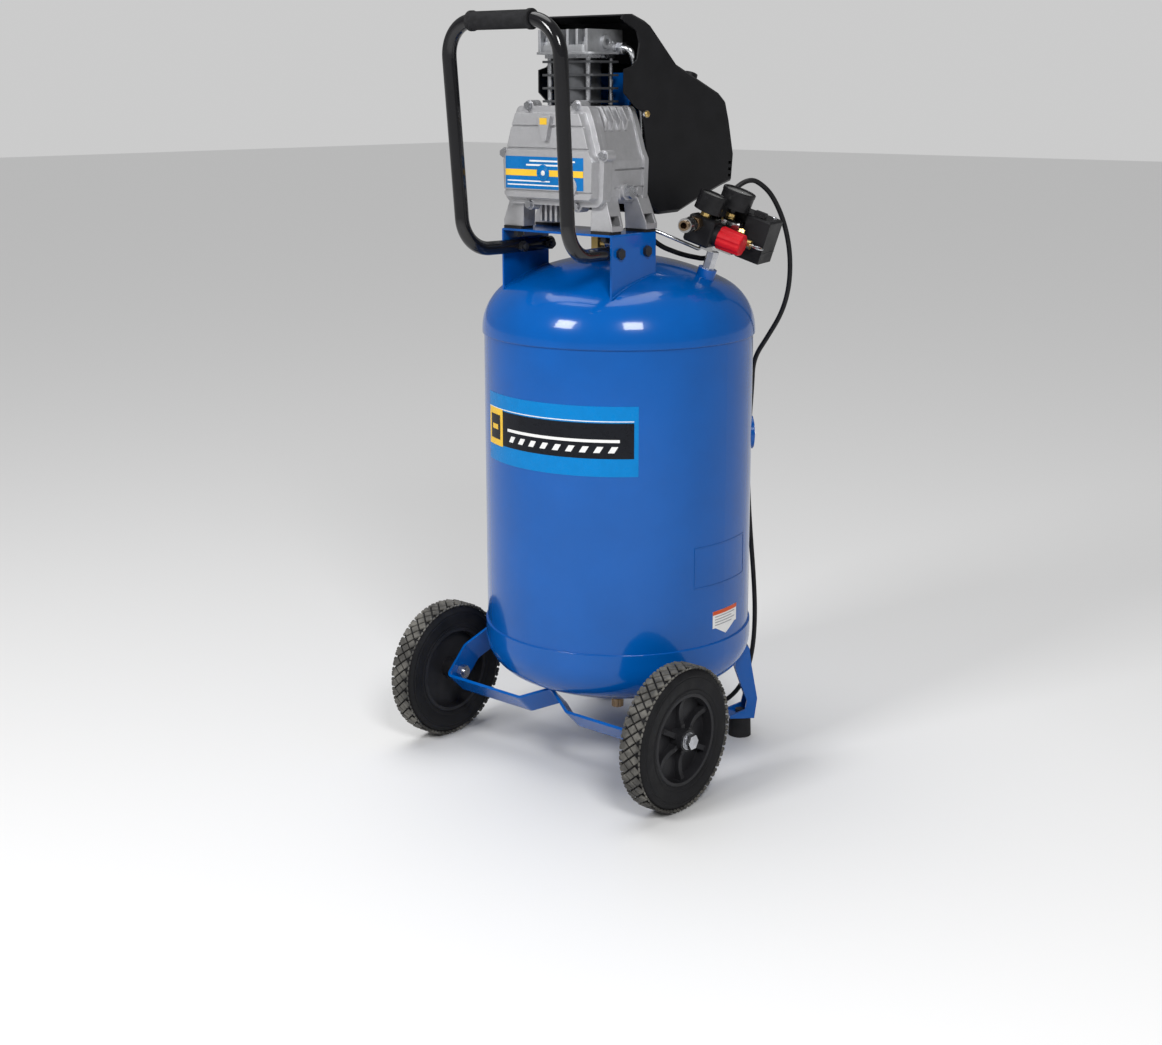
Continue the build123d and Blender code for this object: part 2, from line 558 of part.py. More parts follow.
# Crankshaft and motor shaft in one, with the crankpin on an overhung web.
WEB_FRONT, WEB_REAR = PUMP_Y + 9.0, PUMP_Y + 19.0
ROD_T, WRIST_R, PIN_GAP = 8.0, 5.5, 0.5
PIN_FROM = PUMP_Y + ROD_T / 2 + PIN_GAP  # the crankpin stops just short of the rod
BEARING_W = 12.0
FRONT_BEARING_Y = CASE_REAR - 14.0
REAR_BEARING_Y = STATOR_REAR + 8.0


def crank_plane(y, z=CRANK_Z):
    """A plane across the crankshaft, facing the rear."""
    return facing(0, y, z, (0, 1, 0), (1, 0, 0))


with BuildPart() as crankshaft:
    disc(crank_plane(WEB_REAR), SHAFT_R, FAN_REAR - 2 - WEB_REAR)
    disc(crank_plane(PIN_FROM, CRANK_Z + THROW), PIN_R, WEB_FRONT - PIN_FROM)
    disc(crank_plane(WEB_FRONT), SHAFT_R + 4, WEB_REAR - WEB_FRONT)
    disc(crank_plane(WEB_FRONT, CRANK_Z + THROW), PIN_R + 4, WEB_REAR - WEB_FRONT)
    block(crank_plane(WEB_FRONT, CRANK_Z + THROW / 2), 20, THROW, WEB_REAR - WEB_FRONT)
    slab([(-26, 4), (26, 4), (22, -22), (0, -32), (-22, -22)],
         Plane(origin=(0, WEB_FRONT, CRANK_Z), x_dir=(1, 0, 0), z_dir=(0, -1, 0)),
         WEB_FRONT - WEB_REAR)
write(crankshaft.part, "crankshaft")

with BuildPart() as bearings:
    for y in (FRONT_BEARING_Y, REAR_BEARING_Y):
        ring(crank_plane(y), 17.4, SHAFT_R + RUN_GAP, BEARING_W)
write(bearings.part, "bearings")

# Connecting rod, hung from the wrist pin, its big end clear of the crankpin's end.
PIN_Z = CRANK_Z + THROW + ROD_LENGTH
with BuildPart() as connecting_rod:
    rod_rear = PUMP_Y + ROD_T / 2
    for z, outer, inner in ((PIN_Z, 9.5, WRIST_R + 0.05), (CRANK_Z + THROW, 13.0, PIN_R + 0.5)):
        ring(crank_plane(rod_rear - ROD_T, z), outer, inner, ROD_T)
    block(upright(0, rod_rear - ROD_T / 2, CRANK_Z + THROW + 12), 9, 5, ROD_LENGTH - 20.5)
write(connecting_rod.part, "connecting_rod")

with BuildPart() as piston:
    crown_z = PIN_Z + CROWN
    skirt = upright(0, PUMP_Y, crown_z)
    disc(skirt, BORE_R - PISTON_GAP, -CROWN - 13)
    block(upright(0, PUMP_Y, PIN_Z - 16), 24, ROD_T + 8, 26, mode=Mode.SUBTRACT)
    disc(facing(0, PUMP_Y - 40, PIN_Z, (0, 1, 0)), WRIST_R, 80, mode=Mode.SUBTRACT)
    for groove in (3.0, 6.5):
        ring_plane = upright(0, PUMP_Y, crown_z - groove - 1.5)
        with BuildSketch(ring_plane) as cut:
            Circle(BORE_R + 1)
            Circle(BORE_R - 1.2, mode=Mode.SUBTRACT)
        extrude(cut.sketch, amount=1.5, mode=Mode.SUBTRACT)
write(piston.part, "piston")

with BuildPart() as wrist_pin:
    ring(facing(0, PUMP_Y - BORE_R + 3, PIN_Z, (0, 1, 0)), WRIST_R, 3, 2 * BORE_R - 6)
write(wrist_pin.part, "wrist_pin")

STUDS = [(sx * STUD_X, PUMP_Y + sy * STUD_Y) for sx in (1, -1) for sy in (1, -1)]
FIN_STEP = (BLOCK_TOP - CASE_TOP - 10) / 3
with BuildPart() as cylinder:
    ring(upright(0, PUMP_Y, CASE_TOP), BARREL_R, BORE_R, BLOCK_TOP - CASE_TOP)
    with BuildSketch(upright(0, PUMP_Y, CASE_TOP)) as plates:
        RectangleRounded(FIN_W, FIN_D, 6)
        Circle(BARREL_R - 1, mode=Mode.SUBTRACT)
    for level in range(4):
        lift = 4 + FIN_STEP * level
        extrude(plates.sketch.moved(Location((0, 0, lift))), amount=FIN_T)
    for x, y in STUDS:
        disc(upright(x, y, CASE_TOP - 1), STUD_R + 0.1, BLOCK_TOP - CASE_TOP + 2, mode=Mode.SUBTRACT)
write(cylinder.part, "cylinder")

with BuildPart() as valve_plate:
    with BuildSketch(upright(0, PUMP_Y, BLOCK_TOP)) as sheet:
        RectangleRounded(80, FIN_D, 6)
        with Locations((STUD_X, STUD_Y), (STUD_X, -STUD_Y), (-STUD_X, STUD_Y), (-STUD_X, -STUD_Y)):
            Circle(STUD_R + 0.1, mode=Mode.SUBTRACT)
        with Locations((11, 0), (-11, 0)):
            Circle(3.5, mode=Mode.SUBTRACT)
    extrude(sheet.sketch, amount=PLATE_T)
write(valve_plate.part, "valve_plate")

HEAD_Z = BLOCK_TOP + PLATE_T
HEAD_BODY_W, HEAD_BODY_D, HEAD_BASE = 90.0, 72.0, 9.0
OUTLET_Y, OUTLET_Z = PUMP_Y + 24.0, HEAD_Z + 8.0
with BuildPart() as cylinder_head:
    with BuildSketch(upright(0, PUMP_Y, HEAD_Z)) as flange:
        RectangleRounded(HEAD_W, HEAD_D, 14)
    extrude(flange.sketch, amount=HEAD_FLANGE)
    with BuildSketch(upright(0, PUMP_Y, HEAD_Z + HEAD_FLANGE)) as body:
        RectangleRounded(HEAD_BODY_W - 6, HEAD_BODY_D, 10)
    extrude(body.sketch, amount=HEAD_BASE)
    for fin in range(6):
        x = -HEAD_BODY_W / 2 + 4 + fin * (HEAD_BODY_W - 8) / 5
        block(upright(x, PUMP_Y, HEAD_Z + HEAD_FLANGE), 4, HEAD_BODY_D, HEAD_H - HEAD_FLANGE)
    block(upright(0, PUMP_Y + 4, HEAD_Z), 5, HEAD_BODY_D - 12, HEAD_H - 3)
    block(upright(0, PUMP_Y, HEAD_Z), HEAD_BODY_W - 8, 4, HEAD_H - 5)
    for x, y in STUDS:
        disc(upright(x, y, HEAD_Z), 8, HEAD_H - 16)
    disc(facing(30, PUMP_Y, HEAD_Z + 16, (1, 0, 0)), 9, 17)
    disc(facing(30, OUTLET_Y, OUTLET_Z, (1, 0, 0)), 7.5, 16)
    disc(facing(40, PUMP_Y, HEAD_Z + 16, (1, 0, 0)), 4, 20, mode=Mode.SUBTRACT)
    for x, y in STUDS:
        disc(upright(x, y, HEAD_Z - 1), STUD_R + 0.1, HEAD_H + 5, mode=Mode.SUBTRACT)
        disc(upright(x, y, HEAD_Z + HEAD_H - 16), 8, 30, mode=Mode.SUBTRACT)
    block(upright(0, PUMP_Y, HEAD_Z - 20), 200, 100, 20, mode=Mode.SUBTRACT)
write(cylinder_head.part, "cylinder_head")

with BuildPart() as head_bolts:
    for x, y in STUDS:
        bolt(upright(x, y, HEAD_Z + HEAD_H - 16), STUD_R, HEAD_Z + HEAD_H - 16 - CASE_TOP, 11, 6)
write(head_bolts.part, "head_bolts")

# ==================================================================== motor and shroud
with BuildPart() as motor_stator:
    ring(crank_plane(STATOR_FRONT), STATOR_R, ROTOR_R + 0.8, STATOR_REAR - STATOR_FRONT)
    for y, depth in ((STATOR_FRONT - 10, 10), (STATOR_REAR, 8)):
        ring(crank_plane(y), 56, ROTOR_R + 4, depth)
write(motor_stator.part, "motor_stator")

# Rotor core on the shaft, between the windings.
with BuildPart() as rotor:
    ring(crank_plane(STATOR_FRONT + 2), ROTOR_R, SHAFT_R, STATOR_REAR - STATOR_FRONT - 4)
write(rotor.part, "rotor")

BAFFLE_TOP = 968.0
with BuildPart() as motor_end_bells:
    # front bell against the crankcase, with an air baffle that stands up behind the cylinder
    ring(crank_plane(CASE_REAR), BELL_R, BELL_R - 4, STATOR_FRONT - CASE_REAR - 12)
    ring(crank_plane(STATOR_FRONT - 12), STATOR_R, BELL_R - 1, 12)
    baffle = [(-54, CRANK_Z + 30), (54, CRANK_Z + 30), (54, BAFFLE_TOP - 8), (46, BAFFLE_TOP),
              (-46, BAFFLE_TOP), (-54, BAFFLE_TOP - 8)]
    slab(baffle, front_plane(CASE_REAR + 3), 3)
    disc(crank_plane(CASE_REAR - 1), BELL_R - 4, 20, mode=Mode.SUBTRACT)
    # rear bell with its bearing seat and air slots
    ring(crank_plane(STATOR_REAR), BELL_R + 2, BELL_R - 1, 12)
    ring(crank_plane(STATOR_REAR + 12), BELL_R + 2, 17.5, 4)
    ring(crank_plane(REAR_BEARING_Y), 23, 17.5, 8)
    for slot in range(8):
        angle = radians(45 * slot + 22.5)
        spot = (40 * cos(angle), CRANK_Z + 40 * sin(angle))
        disc(facing(spot[0], STATOR_REAR + 9, spot[1], (0, 1, 0)), 9, 12, mode=Mode.SUBTRACT)
write(motor_end_bells.part, "motor_end_bells")

BLADES = 9
with BuildPart() as cooling_fan:
    ring(crank_plane(FAN_FRONT), 20, SHAFT_R, FAN_REAR - FAN_FRONT)
    ring(crank_plane(FAN_FRONT), FAN_R, 19, 3)
    for blade in range(BLADES):
        angle = 2 * pi * blade / BLADES
        along = Vector(cos(angle), 0, sin(angle))
        middle = Vector(0, FAN_FRONT + 3, CRANK_Z) + along * (FAN_R + 17) / 2
        block(Plane(origin=middle, x_dir=along, z_dir=(0, 1, 0)), FAN_R - 20, 2.4, FAN_REAR - FAN_FRONT - 3)
write(cooling_fan.part, "cooling_fan")

# Shroud: one moulding, open at the front round the pump, with a roof that slopes to the rear.
# The side outline is (distance behind the tank's axis, height), the front edge first.
shroud_side = [
    (-10, 779), (-34, 800), (-32, 853), (-43, 917), (-58, 924), (-82, 942), (-82, 972), (-66, 976),
    (-55, 985), (-50, 1006), (-56, 1021), (-88, 1036), (-84, 1042), (-62, 1043), (-36, 1035), (24, 983),
    (132, 941), (147, 930), (156, 904), (168, 856), (164, 818), (140, 812), (78, 793), (40, 780),
]
SHROUD_CORNERS = {(-36, 1035): 22.0, (132, 941): 20.0, (147, 930): 10.0, (168, 856): 14.0,
                  (164, 818): 5.0, (78, 793): 20.0}


def shroud_sketch(inset=0.0, forward=0.0):
    """The shroud's side outline, drawn on a plane that faces the right."""
    with BuildSketch(Plane.YZ) as outline:
        with BuildLine():
            Polyline(*[(TANK_Y + y - forward, z) for y, z in shroud_side], close=True)
        make_face()
        for (y, z), radius in SHROUD_CORNERS.items():
            corner = outline.vertices().sort_by_distance((0, TANK_Y + y - forward, z))[0]
            fillet(corner, radius)
        if inset:
            offset(amount=-inset, kind=Kind.INTERSECTION)
    return outline.sketch


ROOF_EDGE = 9.0
with BuildPart() as shroud:
    extrude(shroud_sketch(), amount=SHROUD_HALF, both=True)
    rims = [e for e in shroud.edges() if abs(abs(e.center().X) - SHROUD_HALF) < 0.01
            and (e.center().Y > TANK_Y + 40 or e.center().Z > 1036 or e.center().Z < 786)
            and e.center().Y > TANK_Y - 60]
    chamfer(rims, ROOF_EDGE * 0.45)
    for forward in (0.0, 5.0, 12.0):
        extrude(shroud_sketch(SHROUD_WALL, forward), amount=SHROUD_HALF - SHROUD_WALL, both=True,
                mode=Mode.SUBTRACT)
    # round boss on the roof, and the intake grille behind the fan
    disc(facing(52, TANK_Y + 84, 948, (0, 0.36, 0.93)), 11, 21)
    extrude(shroud_sketch(SHROUD_WALL), amount=SHROUD_HALF - SHROUD_WALL, both=True, mode=Mode.SUBTRACT)
    for row in range(8):
        block(facing(0, TANK_Y + 138, 838 + 9 * row, (0, 1, 0), (1, 0, 0)), 96 - abs(row - 3.5) * 6, 4, 50,
              mode=Mode.SUBTRACT)
    for side in (1, -1):
        for row in range(3):
            block(facing(side * 70, TANK_Y + 157, 826 + 9 * row, (side, 0, 0), (0, 1, 0)), 8, 4, 12,
                  mode=Mode.SUBTRACT)
    disc(upright(CABLE_X, CABLE_Y, 760), 6, 60, mode=Mode.SUBTRACT)
write(shroud.part, "shroud")

# ==================================================================== air and power lines
check_top = CHECK_Z + BUNG_H
with BuildPart() as check_valve:
    disc(upright(0, CHECK_Y, check_top - 6), BUNG_BORE - 0.05, 6)
    hexagon(upright(0, CHECK_Y, check_top), 20, 18)
    disc(facing(0, CHECK_Y, check_top + 9, (1, 0, 0)), 7, 16)
    disc(facing(0, CHECK_Y, check_top + 9, (0, 1, 0)), 4.5, 15)
write(check_valve.part, "check_valve")

LINE_Z = check_top + 9
DISCHARGE_R, DISCHARGE_X = 4.5, 66.0
discharge_route = [
    (46, OUTLET_Y, OUTLET_Z),
    (DISCHARGE_X, OUTLET_Y, OUTLET_Z),
    (DISCHARGE_X, TANK_Y - 34, 950),
    (DISCHARGE_X, TANK_Y - 34, LINE_Z),
    (32, CHECK_Y, LINE_Z),
    (16, CHECK_Y, LINE_Z),
]
with BuildPart() as discharge_tube:
    add(pipe(discharge_route, [9.0, 14.0, 14.0, 14.0], DISCHARGE_R, DISCHARGE_R - 1))
write(discharge_tube.part, "discharge_tube")


def on_manifold(x, y, z):
    """A point of the manifold's own frame: x outwards, y along the tank's side, z up."""
    return MANIFOLD.from_local_coords((x, y, z))


def manifold_plane(x, y, z, toward, x_dir=None):
    """A plane at a point of the manifold, facing along a direction of its frame."""
    normal = on_manifold(*toward) - MANIFOLD.origin
    across = None if x_dir is None else on_manifold(*x_dir) - MANIFOLD.origin
    return Plane(origin=on_manifold(x, y, z), z_dir=normal, x_dir=across)


def local_box(x, y, z, mode=Mode.ADD):
    """A box in the manifold's frame, from three (low, high) pairs."""
    middle = manifold_plane((x[0] + x[1]) / 2, (y[0] + y[1]) / 2, z[0], (0, 0, 1), (1, 0, 0))
    block(middle, x[1] - x[0], y[1] - y[0], z[1] - z[0], mode=mode)


with BuildPart() as manifold_nipple:
    hexagon(BUNG_PLANE.offset(BUNG_H), NIPPLE_FLATS, NIPPLE_H)
    disc(BUNG_PLANE.offset(BUNG_H), BUNG_BORE - 0.05, -BUNG_DEEP)
write(manifold_nipple.part, "manifold_nipple")

REG_FRONT, REG_REAR, SWITCH_Y = -40.0, -14.0, 24.5
GAUGES = {"outlet": (-17.0, -27.0, 46.0, 19.0), "tank": (4.0, 12.0, 56.0, 22.5)}
GAUGE_LEAN = {"outlet": (0.08, 0.05, 1), "tank": (0.05, 0.02, 1)}
GAUGE_H, STEM_H, REST_ANGLE = 23.0, 8.0, -45.0

with BuildPart() as manifold_body:
    local_box((-14, 3), (REG_REAR, SWITCH_Y), (0, 50))
    local_box((3, 26), (-4, SWITCH_Y), (4, 50))
    upper = manifold_body.edges().filter_by(GeomType.LINE)
    upper = [e for e in upper if MANIFOLD.to_local_coords(e.center()).Z > 49.9]
    chamfer(upper, 3)
write(manifold_body.part, "manifold_body")

KNOB_Y, KNOB_Z, COLLAR_X = -22.0, 26.0, 5.0
with BuildPart() as regulator_body:
    local_box((-34, 4), (REG_FRONT, REG_REAR), (8, 46))
    chamfer(regulator_body.edges(), 2.5)
    ring(manifold_plane(4, KNOB_Y, KNOB_Z, (1, 0, 0)), 14.5, 6, 7)
    disc(manifold_plane(4, KNOB_Y, KNOB_Z, (1, 0, 0)), 4, 26)
    disc(manifold_plane(-34, -27, 27, (-1, 0, 0)), 11, 5)
write(regulator_body.part, "regulator_body")

# Pressure regulator knob: fluted, bored for the adjusting screw, turning about the screw.
KNOB_PLANE = manifold_plane(COLLAR_X + 6.6, KNOB_Y, KNOB_Z, (1, 0, 0), (0, 0, 1))
FLUTES = 8
with BuildPart() as regulator_knob:
    with BuildSketch(KNOB_PLANE) as knob_round:
        Circle(KNOB_R)
        with PolarLocations(KNOB_R + 2.2, FLUTES):
            Circle(3.6, mode=Mode.SUBTRACT)
    extrude(knob_round.sketch, amount=KNOB_L, taper=2)
    disc(KNOB_PLANE, 4.08, 22, mode=Mode.SUBTRACT)
    knob_end = regulator_knob.faces().sort_by(Axis(KNOB_PLANE.origin, KNOB_PLANE.z_dir))[-1]
    chamfer(knob_end.edges(), 1.5)
write(regulator_knob.part, "regulator_knob")


def gauge_plane(word):
    """The underside of a gauge's case."""
    x, y, z, radius = GAUGES[word]
    lean = GAUGE_LEAN[word]
    return manifold_plane(x + STEM_H * lean[0], y + STEM_H * lean[1], z + STEM_H, lean, (0, -1, 0))


with BuildPart() as pressure_gauges:
    for word, (x, y, z, radius) in GAUGES.items():
        case = gauge_plane(word)
        disc(case, radius, GAUGE_H)
        disc(case.offset(GAUGE_H - 7), radius - 2, 8, mode=Mode.SUBTRACT)
        disc(case.offset(GAUGE_H - 7), 1.5, 3.4)
        hexagon(case, 11, -STEM_H + 2)
        disc(case, 4, -STEM_H - 6)
    add(manifold_body.part, mode=Mode.SUBTRACT)
    add(regulator_body.part, mode=Mode.SUBTRACT)
write(pressure_gauges.part, "pressure_gauges")

for word in GAUGES:
    radius = GAUGES[word][3]
    dial = gauge_plane(word).offset(GAUGE_H - 4.8)
    with BuildPart() as needle:
        with BuildSketch(dial) as pointer:
            Circle(3)
            with PolarLocations((radius - 6) / 2, 1, start_angle=REST_ANGLE):
                Rectangle(radius - 4, 1.4)
            Circle(1.56, mode=Mode.SUBTRACT)
        extrude(pointer.sketch, amount=0.8)
    write(needle.part, f"{word}_needle")

# Quick coupler: fixed body with a through bore, and a sprung sleeve that slides back.
COUPLER = manifold_plane(-20, REG_FRONT, 36, (0, -1, 0), (1, 0, 0))
SLEEVE_FROM, SLEEVE_L = 20.0, 22.0
with BuildPart() as coupler_body:
    hexagon(COUPLER, 17, 12)
    disc(COUPLER, COUPLER_R, COUPLER_L)
    disc(COUPLER.offset(COUPLER_L - 30), 4.5, 40, mode=Mode.SUBTRACT)
write(coupler_body.part, "coupler_body")

with BuildPart() as coupler_sleeve:
    ring(COUPLER.offset(SLEEVE_FROM), 9.8, COUPLER_R + RUN_GAP, SLEEVE_L)
    for groove in (4, 8, 12):
        with BuildSketch(COUPLER.offset(SLEEVE_FROM + groove)) as knurl:
            Circle(11)
            Circle(9.1, mode=Mode.SUBTRACT)
        extrude(knurl.sketch, amount=1.8, mode=Mode.SUBTRACT)
write(coupler_sleeve.part, "coupler_sleeve")

# Pressure switch: base and cover, with a boss for its pull knob.
SWITCH_BOX = ((-34, 62), (SWITCH_Y, 62), (2, SWITCH_TOP))
KNOB_SPOT = (42.0, 20.0)
with BuildPart() as pressure_switch:
    local_box(*SWITCH_BOX)
    local_box((27, 62), (12.5, SWITCH_Y + 0.5), (2, SWITCH_TOP))
    rounded = [e for e in pressure_switch.edges()
               if MANIFOLD.to_local_coords(e.center()).Z > SWITCH_TOP - 0.1]
    chamfer(rounded, 2.5)
    switch_bore = manifold_plane(*KNOB_SPOT, SWITCH_TOP - 16, (0, 0, 1))
    disc(switch_bore, 4.4, 20, mode=Mode.SUBTRACT)
write(pressure_switch.part, "pressure_switch")

with BuildPart() as switch_knob:
    stem = manifold_plane(*KNOB_SPOT, SWITCH_TOP - 14, (0, 0, 1), (1, 0, 0))
    disc(stem, 4.0, 18)
    block(stem.offset(15), 16, 10, 7)
write(switch_knob.part, "switch_knob")

# Safety valve, pointing outwards, and its pull ring on a stem.
VALVE = manifold_plane(26, 2, 26, (1, 0, 0), (0, 1, 0))
with BuildPart() as safety_valve:
    hexagon(VALVE, 13, 9)
    ring(VALVE.offset(9), 6.2, 2.5, 13)
    disc(VALVE.offset(9), 6.2, 3)
write(safety_valve.part, "safety_valve")

RING_R = 8.0
with BuildPart() as safety_ring:
    disc(VALVE.offset(13), 2.2, 13)
    ring(Plane(origin=VALVE.offset(26 + RING_R - 1.5).origin, x_dir=VALVE.z_dir, z_dir=VALVE.y_dir)
         .offset(-0.8), RING_R, RING_R - 1.8, 1.6)
write(safety_ring.part, "safety_ring")

UNLOADER_R = 2.5
port = on_manifold(-30, 31, 2)
below = on_manifold(-30, 31, -12)
unloader_route = [
    (0, CHECK_Y + 15, LINE_Z),
    (0, CHECK_Y + 31, LINE_Z),
    (16, CHECK_Y + 37, 758),
    (58, TANK_Y - 2, 759),
    (90, TANK_Y + 26, 741),
    tuple(below),
    tuple(port),
]
with BuildPart() as unloader_tube:
    add(pipe(unloader_route, cord_radii(unloader_route), UNLOADER_R, UNLOADER_R - 0.8))
write(unloader_tube.part, "unloader_tube")

CABLE_R = 3.5
inlet = on_manifold(-14, 42, 2)
under = on_manifold(-14, 42, -16)
cable_route = [
    (CABLE_X, CABLE_Y, CRANK_Z - 61.2),
    (CABLE_X, CABLE_Y, 757),
    (48, CABLE_Y + 8, 733),
    (80, CABLE_Y + 22, 721),
    (under.X - 8, under.Y - 10, under.Z - 4),
    tuple(under),
    tuple(inlet),
]
with BuildPart() as motor_cable:
    add(pipe(cable_route, cord_radii(cable_route), CABLE_R))
    add(motor_stator.part, mode=Mode.SUBTRACT)
write(motor_cable.part, "motor_cable")

# Drain valve under the tank, with a knurled knob that unscrews.
with BuildPart() as drain_valve:
    valve_top = DRAIN_PLANE.offset(6)
    hexagon(valve_top, 16, 10)
    disc(valve_top, BUNG_BORE - 0.05, -6)
    disc(valve_top.offset(10), 5, 6)
    disc(valve_top.offset(10), 3, 18)
write(drain_valve.part, "drain_valve")

with BuildPart() as drain_knob:
    knob_top = DRAIN_PLANE.offset(6 + 17)
    with BuildSketch(knob_top) as grip_round:
        Circle(9)
        with PolarLocations(9.8, 10):
            Circle(1.8, mode=Mode.SUBTRACT)
        Circle(3 + RUN_GAP, mode=Mode.SUBTRACT)
    extrude(grip_round.sketch, amount=12)
write(drain_knob.part, "drain_knob")

# ==================================================================== power cord
# It leaves a tapered strain relief on the switch, hangs behind the tank and lies in a coil.
CORD_R = 3.5
RELIEF_L = 24.0
RELIEF_WAY = (0.28, 0.55, 0.785)
relief_foot = manifold_plane(-24, 32, SWITCH_TOP - 6, RELIEF_WAY)
CORD_EXIT = relief_foot.offset(RELIEF_L + 6).origin
with BuildPart() as cord_relief:
    with BuildSketch(relief_foot) as wide:
        Circle(7)
    with BuildSketch(relief_foot.offset(RELIEF_L + 6)) as narrow:
        Circle(CORD_R + 0.8)
    loft([wide.sketch.face(), narrow.sketch.face()])
    add(pressure_switch.part, mode=Mode.SUBTRACT)
write(cord_relief.part, "cord_relief")



def behind(radius, angle, z):
    """A point behind the tank: distance from its axis, angle from +X, height."""
    return (radius * cos(radians(angle)), TANK_Y + radius * sin(radians(angle)), z)


cord_route = [
    tuple(CORD_EXIT),
    tuple(relief_foot.offset(RELIEF_L + 34).origin),
    (162.0, 154.0, 812.0),
    (170.0, 171.0, 785.0),
    (175.0, 184.0, 753.0),
    (177.0, 193.0, 715.0),
    (173.0, 198.0, 672.0),
    (161.0, 199.0, 634.0),
    (142.0, 194.0, 600.0),
    behind(202, 54, 564),
    behind(208, 59, 520),
    behind(211, 62.5, 468),
    behind(211, 63.5, 408),
    behind(211, 62, 346),
    behind(212, 59.5, 286),
    behind(214, 57, 228),
    behind(215, 55.5, 174),
    behind(213, 55.5, 124),
    behind(208, 58, 80),
    behind(200, 63, 44),
    behind(189, 71, 17),
    behind(177, 80, CORD_R + 0.2),
    (4.0, TANK_Y + 163.7, CORD_R + 0.2),
]
radii = cord_radii(cord_route)
print("cord radii", [round(r) for r in radii], "run", [round(Vector(*a).sub(Vector(*b)).length)
      for a, b in zip(cord_route, cord_route[1:])])
cord_form = pipe(cord_route, radii, CORD_R)
with BuildPart() as power_cord:
    add(cord_form)
write(power_cord.part, "power_cord")
print("cord exit", CORD_EXIT, "tube length", round(power_cord.part.volume / (pi * CORD_R**2)))

COIL_X, COIL_Y, COIL_R, TURN_LAYERS = -6.0, TANK_Y + 113.0, 40.0, 2
with BuildPart() as cord_coil:
    ring(upright(COIL_X, COIL_Y, 0.1), COIL_R + 2 * CORD_R, COIL_R - 2 * CORD_R, TURN_LAYERS * 2 * CORD_R)
write(cord_coil.part, "cord_coil")

# Mains plug, lying on the floor where the cord leaves the coil: body, two blades and an earth pin.
PLUG_X, PLUG_Y, PLUG_L, PLUG_W, PLUG_H = COIL_X + 60.0, COIL_Y - COIL_R, 40.0, 28.0, 22.0
with BuildPart() as power_plug:
    with BuildSketch(upright(PLUG_X + PLUG_L / 2, PLUG_Y, 0.1)) as body:
        RectangleRounded(PLUG_L, PLUG_W, 6)
    extrude(body.sketch, amount=PLUG_H)
    chamfer(power_plug.edges().filter_by(Plane.XY), 2)
    front = PLUG_X + PLUG_L
    for blade_y in (-6.35, 6.35):
        block(facing(front - 1, PLUG_Y + blade_y, 15, (1, 0, 0), (0, 1, 0)), 1.6, 6.4, 18)
    disc(facing(front - 1, PLUG_Y, 7, (1, 0, 0)), 2.4, 21)
    tail = facing(PLUG_X + 1, PLUG_Y, PLUG_H / 2, (-1, 0, 0))
    disc(tail, CORD_R + 1.5, 14)
    disc(tail, CORD_R, PLUG_X - COIL_X - 18)
    add(cord_coil.part, mode=Mode.SUBTRACT)
write(power_plug.part, "power_plug")
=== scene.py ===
from math import ceil, cos, pi, radians, sin, sqrt

import bpy
from bpy.props import BoolProperty, FloatProperty, FloatVectorProperty, IntProperty, PointerProperty
from mathutils import Matrix, Vector


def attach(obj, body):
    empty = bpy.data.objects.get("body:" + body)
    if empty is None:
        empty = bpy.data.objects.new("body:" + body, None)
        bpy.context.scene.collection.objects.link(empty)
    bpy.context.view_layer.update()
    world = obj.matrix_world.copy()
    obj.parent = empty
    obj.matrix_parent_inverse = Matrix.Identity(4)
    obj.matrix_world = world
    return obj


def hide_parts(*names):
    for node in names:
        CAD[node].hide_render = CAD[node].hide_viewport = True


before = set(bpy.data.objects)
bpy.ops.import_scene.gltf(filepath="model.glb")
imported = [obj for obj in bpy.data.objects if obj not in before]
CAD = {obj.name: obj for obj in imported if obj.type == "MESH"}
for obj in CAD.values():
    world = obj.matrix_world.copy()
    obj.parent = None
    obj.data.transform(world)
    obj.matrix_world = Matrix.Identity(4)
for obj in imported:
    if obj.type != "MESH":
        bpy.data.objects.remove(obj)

bl_info = {
    "name": "Portable air compressor",
    "version": (1, 0, 0),
    "blender": (4, 5, 0),
    "location": "View3D > Sidebar > Compressor",
    "description": "Finishes, cord, tyres, gauges, labels and studio of a portable air compressor",
    "category": "Add Mesh",
}

# Everything is in metres in the object's frame: +Z up, front (handle, wheels) towards -Y.
TANK_Y = 0.027
TANK_R = 0.190


# ------------------------------------------------------------------ helpers
def deselect():
    """Leave nothing selected, so that an operator works on one piece only."""
    bpy.ops.object.select_all(action="DESELECT")


def pick(piece):
    """Select one piece and make it active."""
    deselect()
    piece.select_set(True)
    bpy.context.view_layer.objects.active = piece


def modified(piece, kind, **settings):
    """Add a modifier to a piece and apply it."""
    pick(piece)
    change = piece.modifiers.new(kind.title(), kind)
    for name, value in settings.items():
        setattr(change, name, value)
    bpy.ops.object.modifier_apply(modifier=change.name)


def cut_by(piece, tool):
    """Take a tool's shape out of a piece."""
    modified(piece, "BOOLEAN", operation="DIFFERENCE", object=tool, solver="EXACT")
    bpy.data.objects.remove(tool)


def named(name):
    """Name the piece that an operator has just made."""
    piece = bpy.context.object
    piece.name = name
    return piece


def settle(piece):
    """Move a piece's place into its vertices."""
    pick(piece)
    bpy.ops.object.transform_apply(location=True, rotation=True, scale=True)
    return piece


def joined(pieces, name):
    """Join settled pieces into one."""
    for piece in pieces:
        settle(piece)
    deselect()
    for piece in pieces:
        piece.select_set(True)
    bpy.context.view_layer.objects.active = pieces[0]
    if len(pieces) > 1:
        bpy.ops.object.join()
    result = named(name)
    settle(result)
    return result


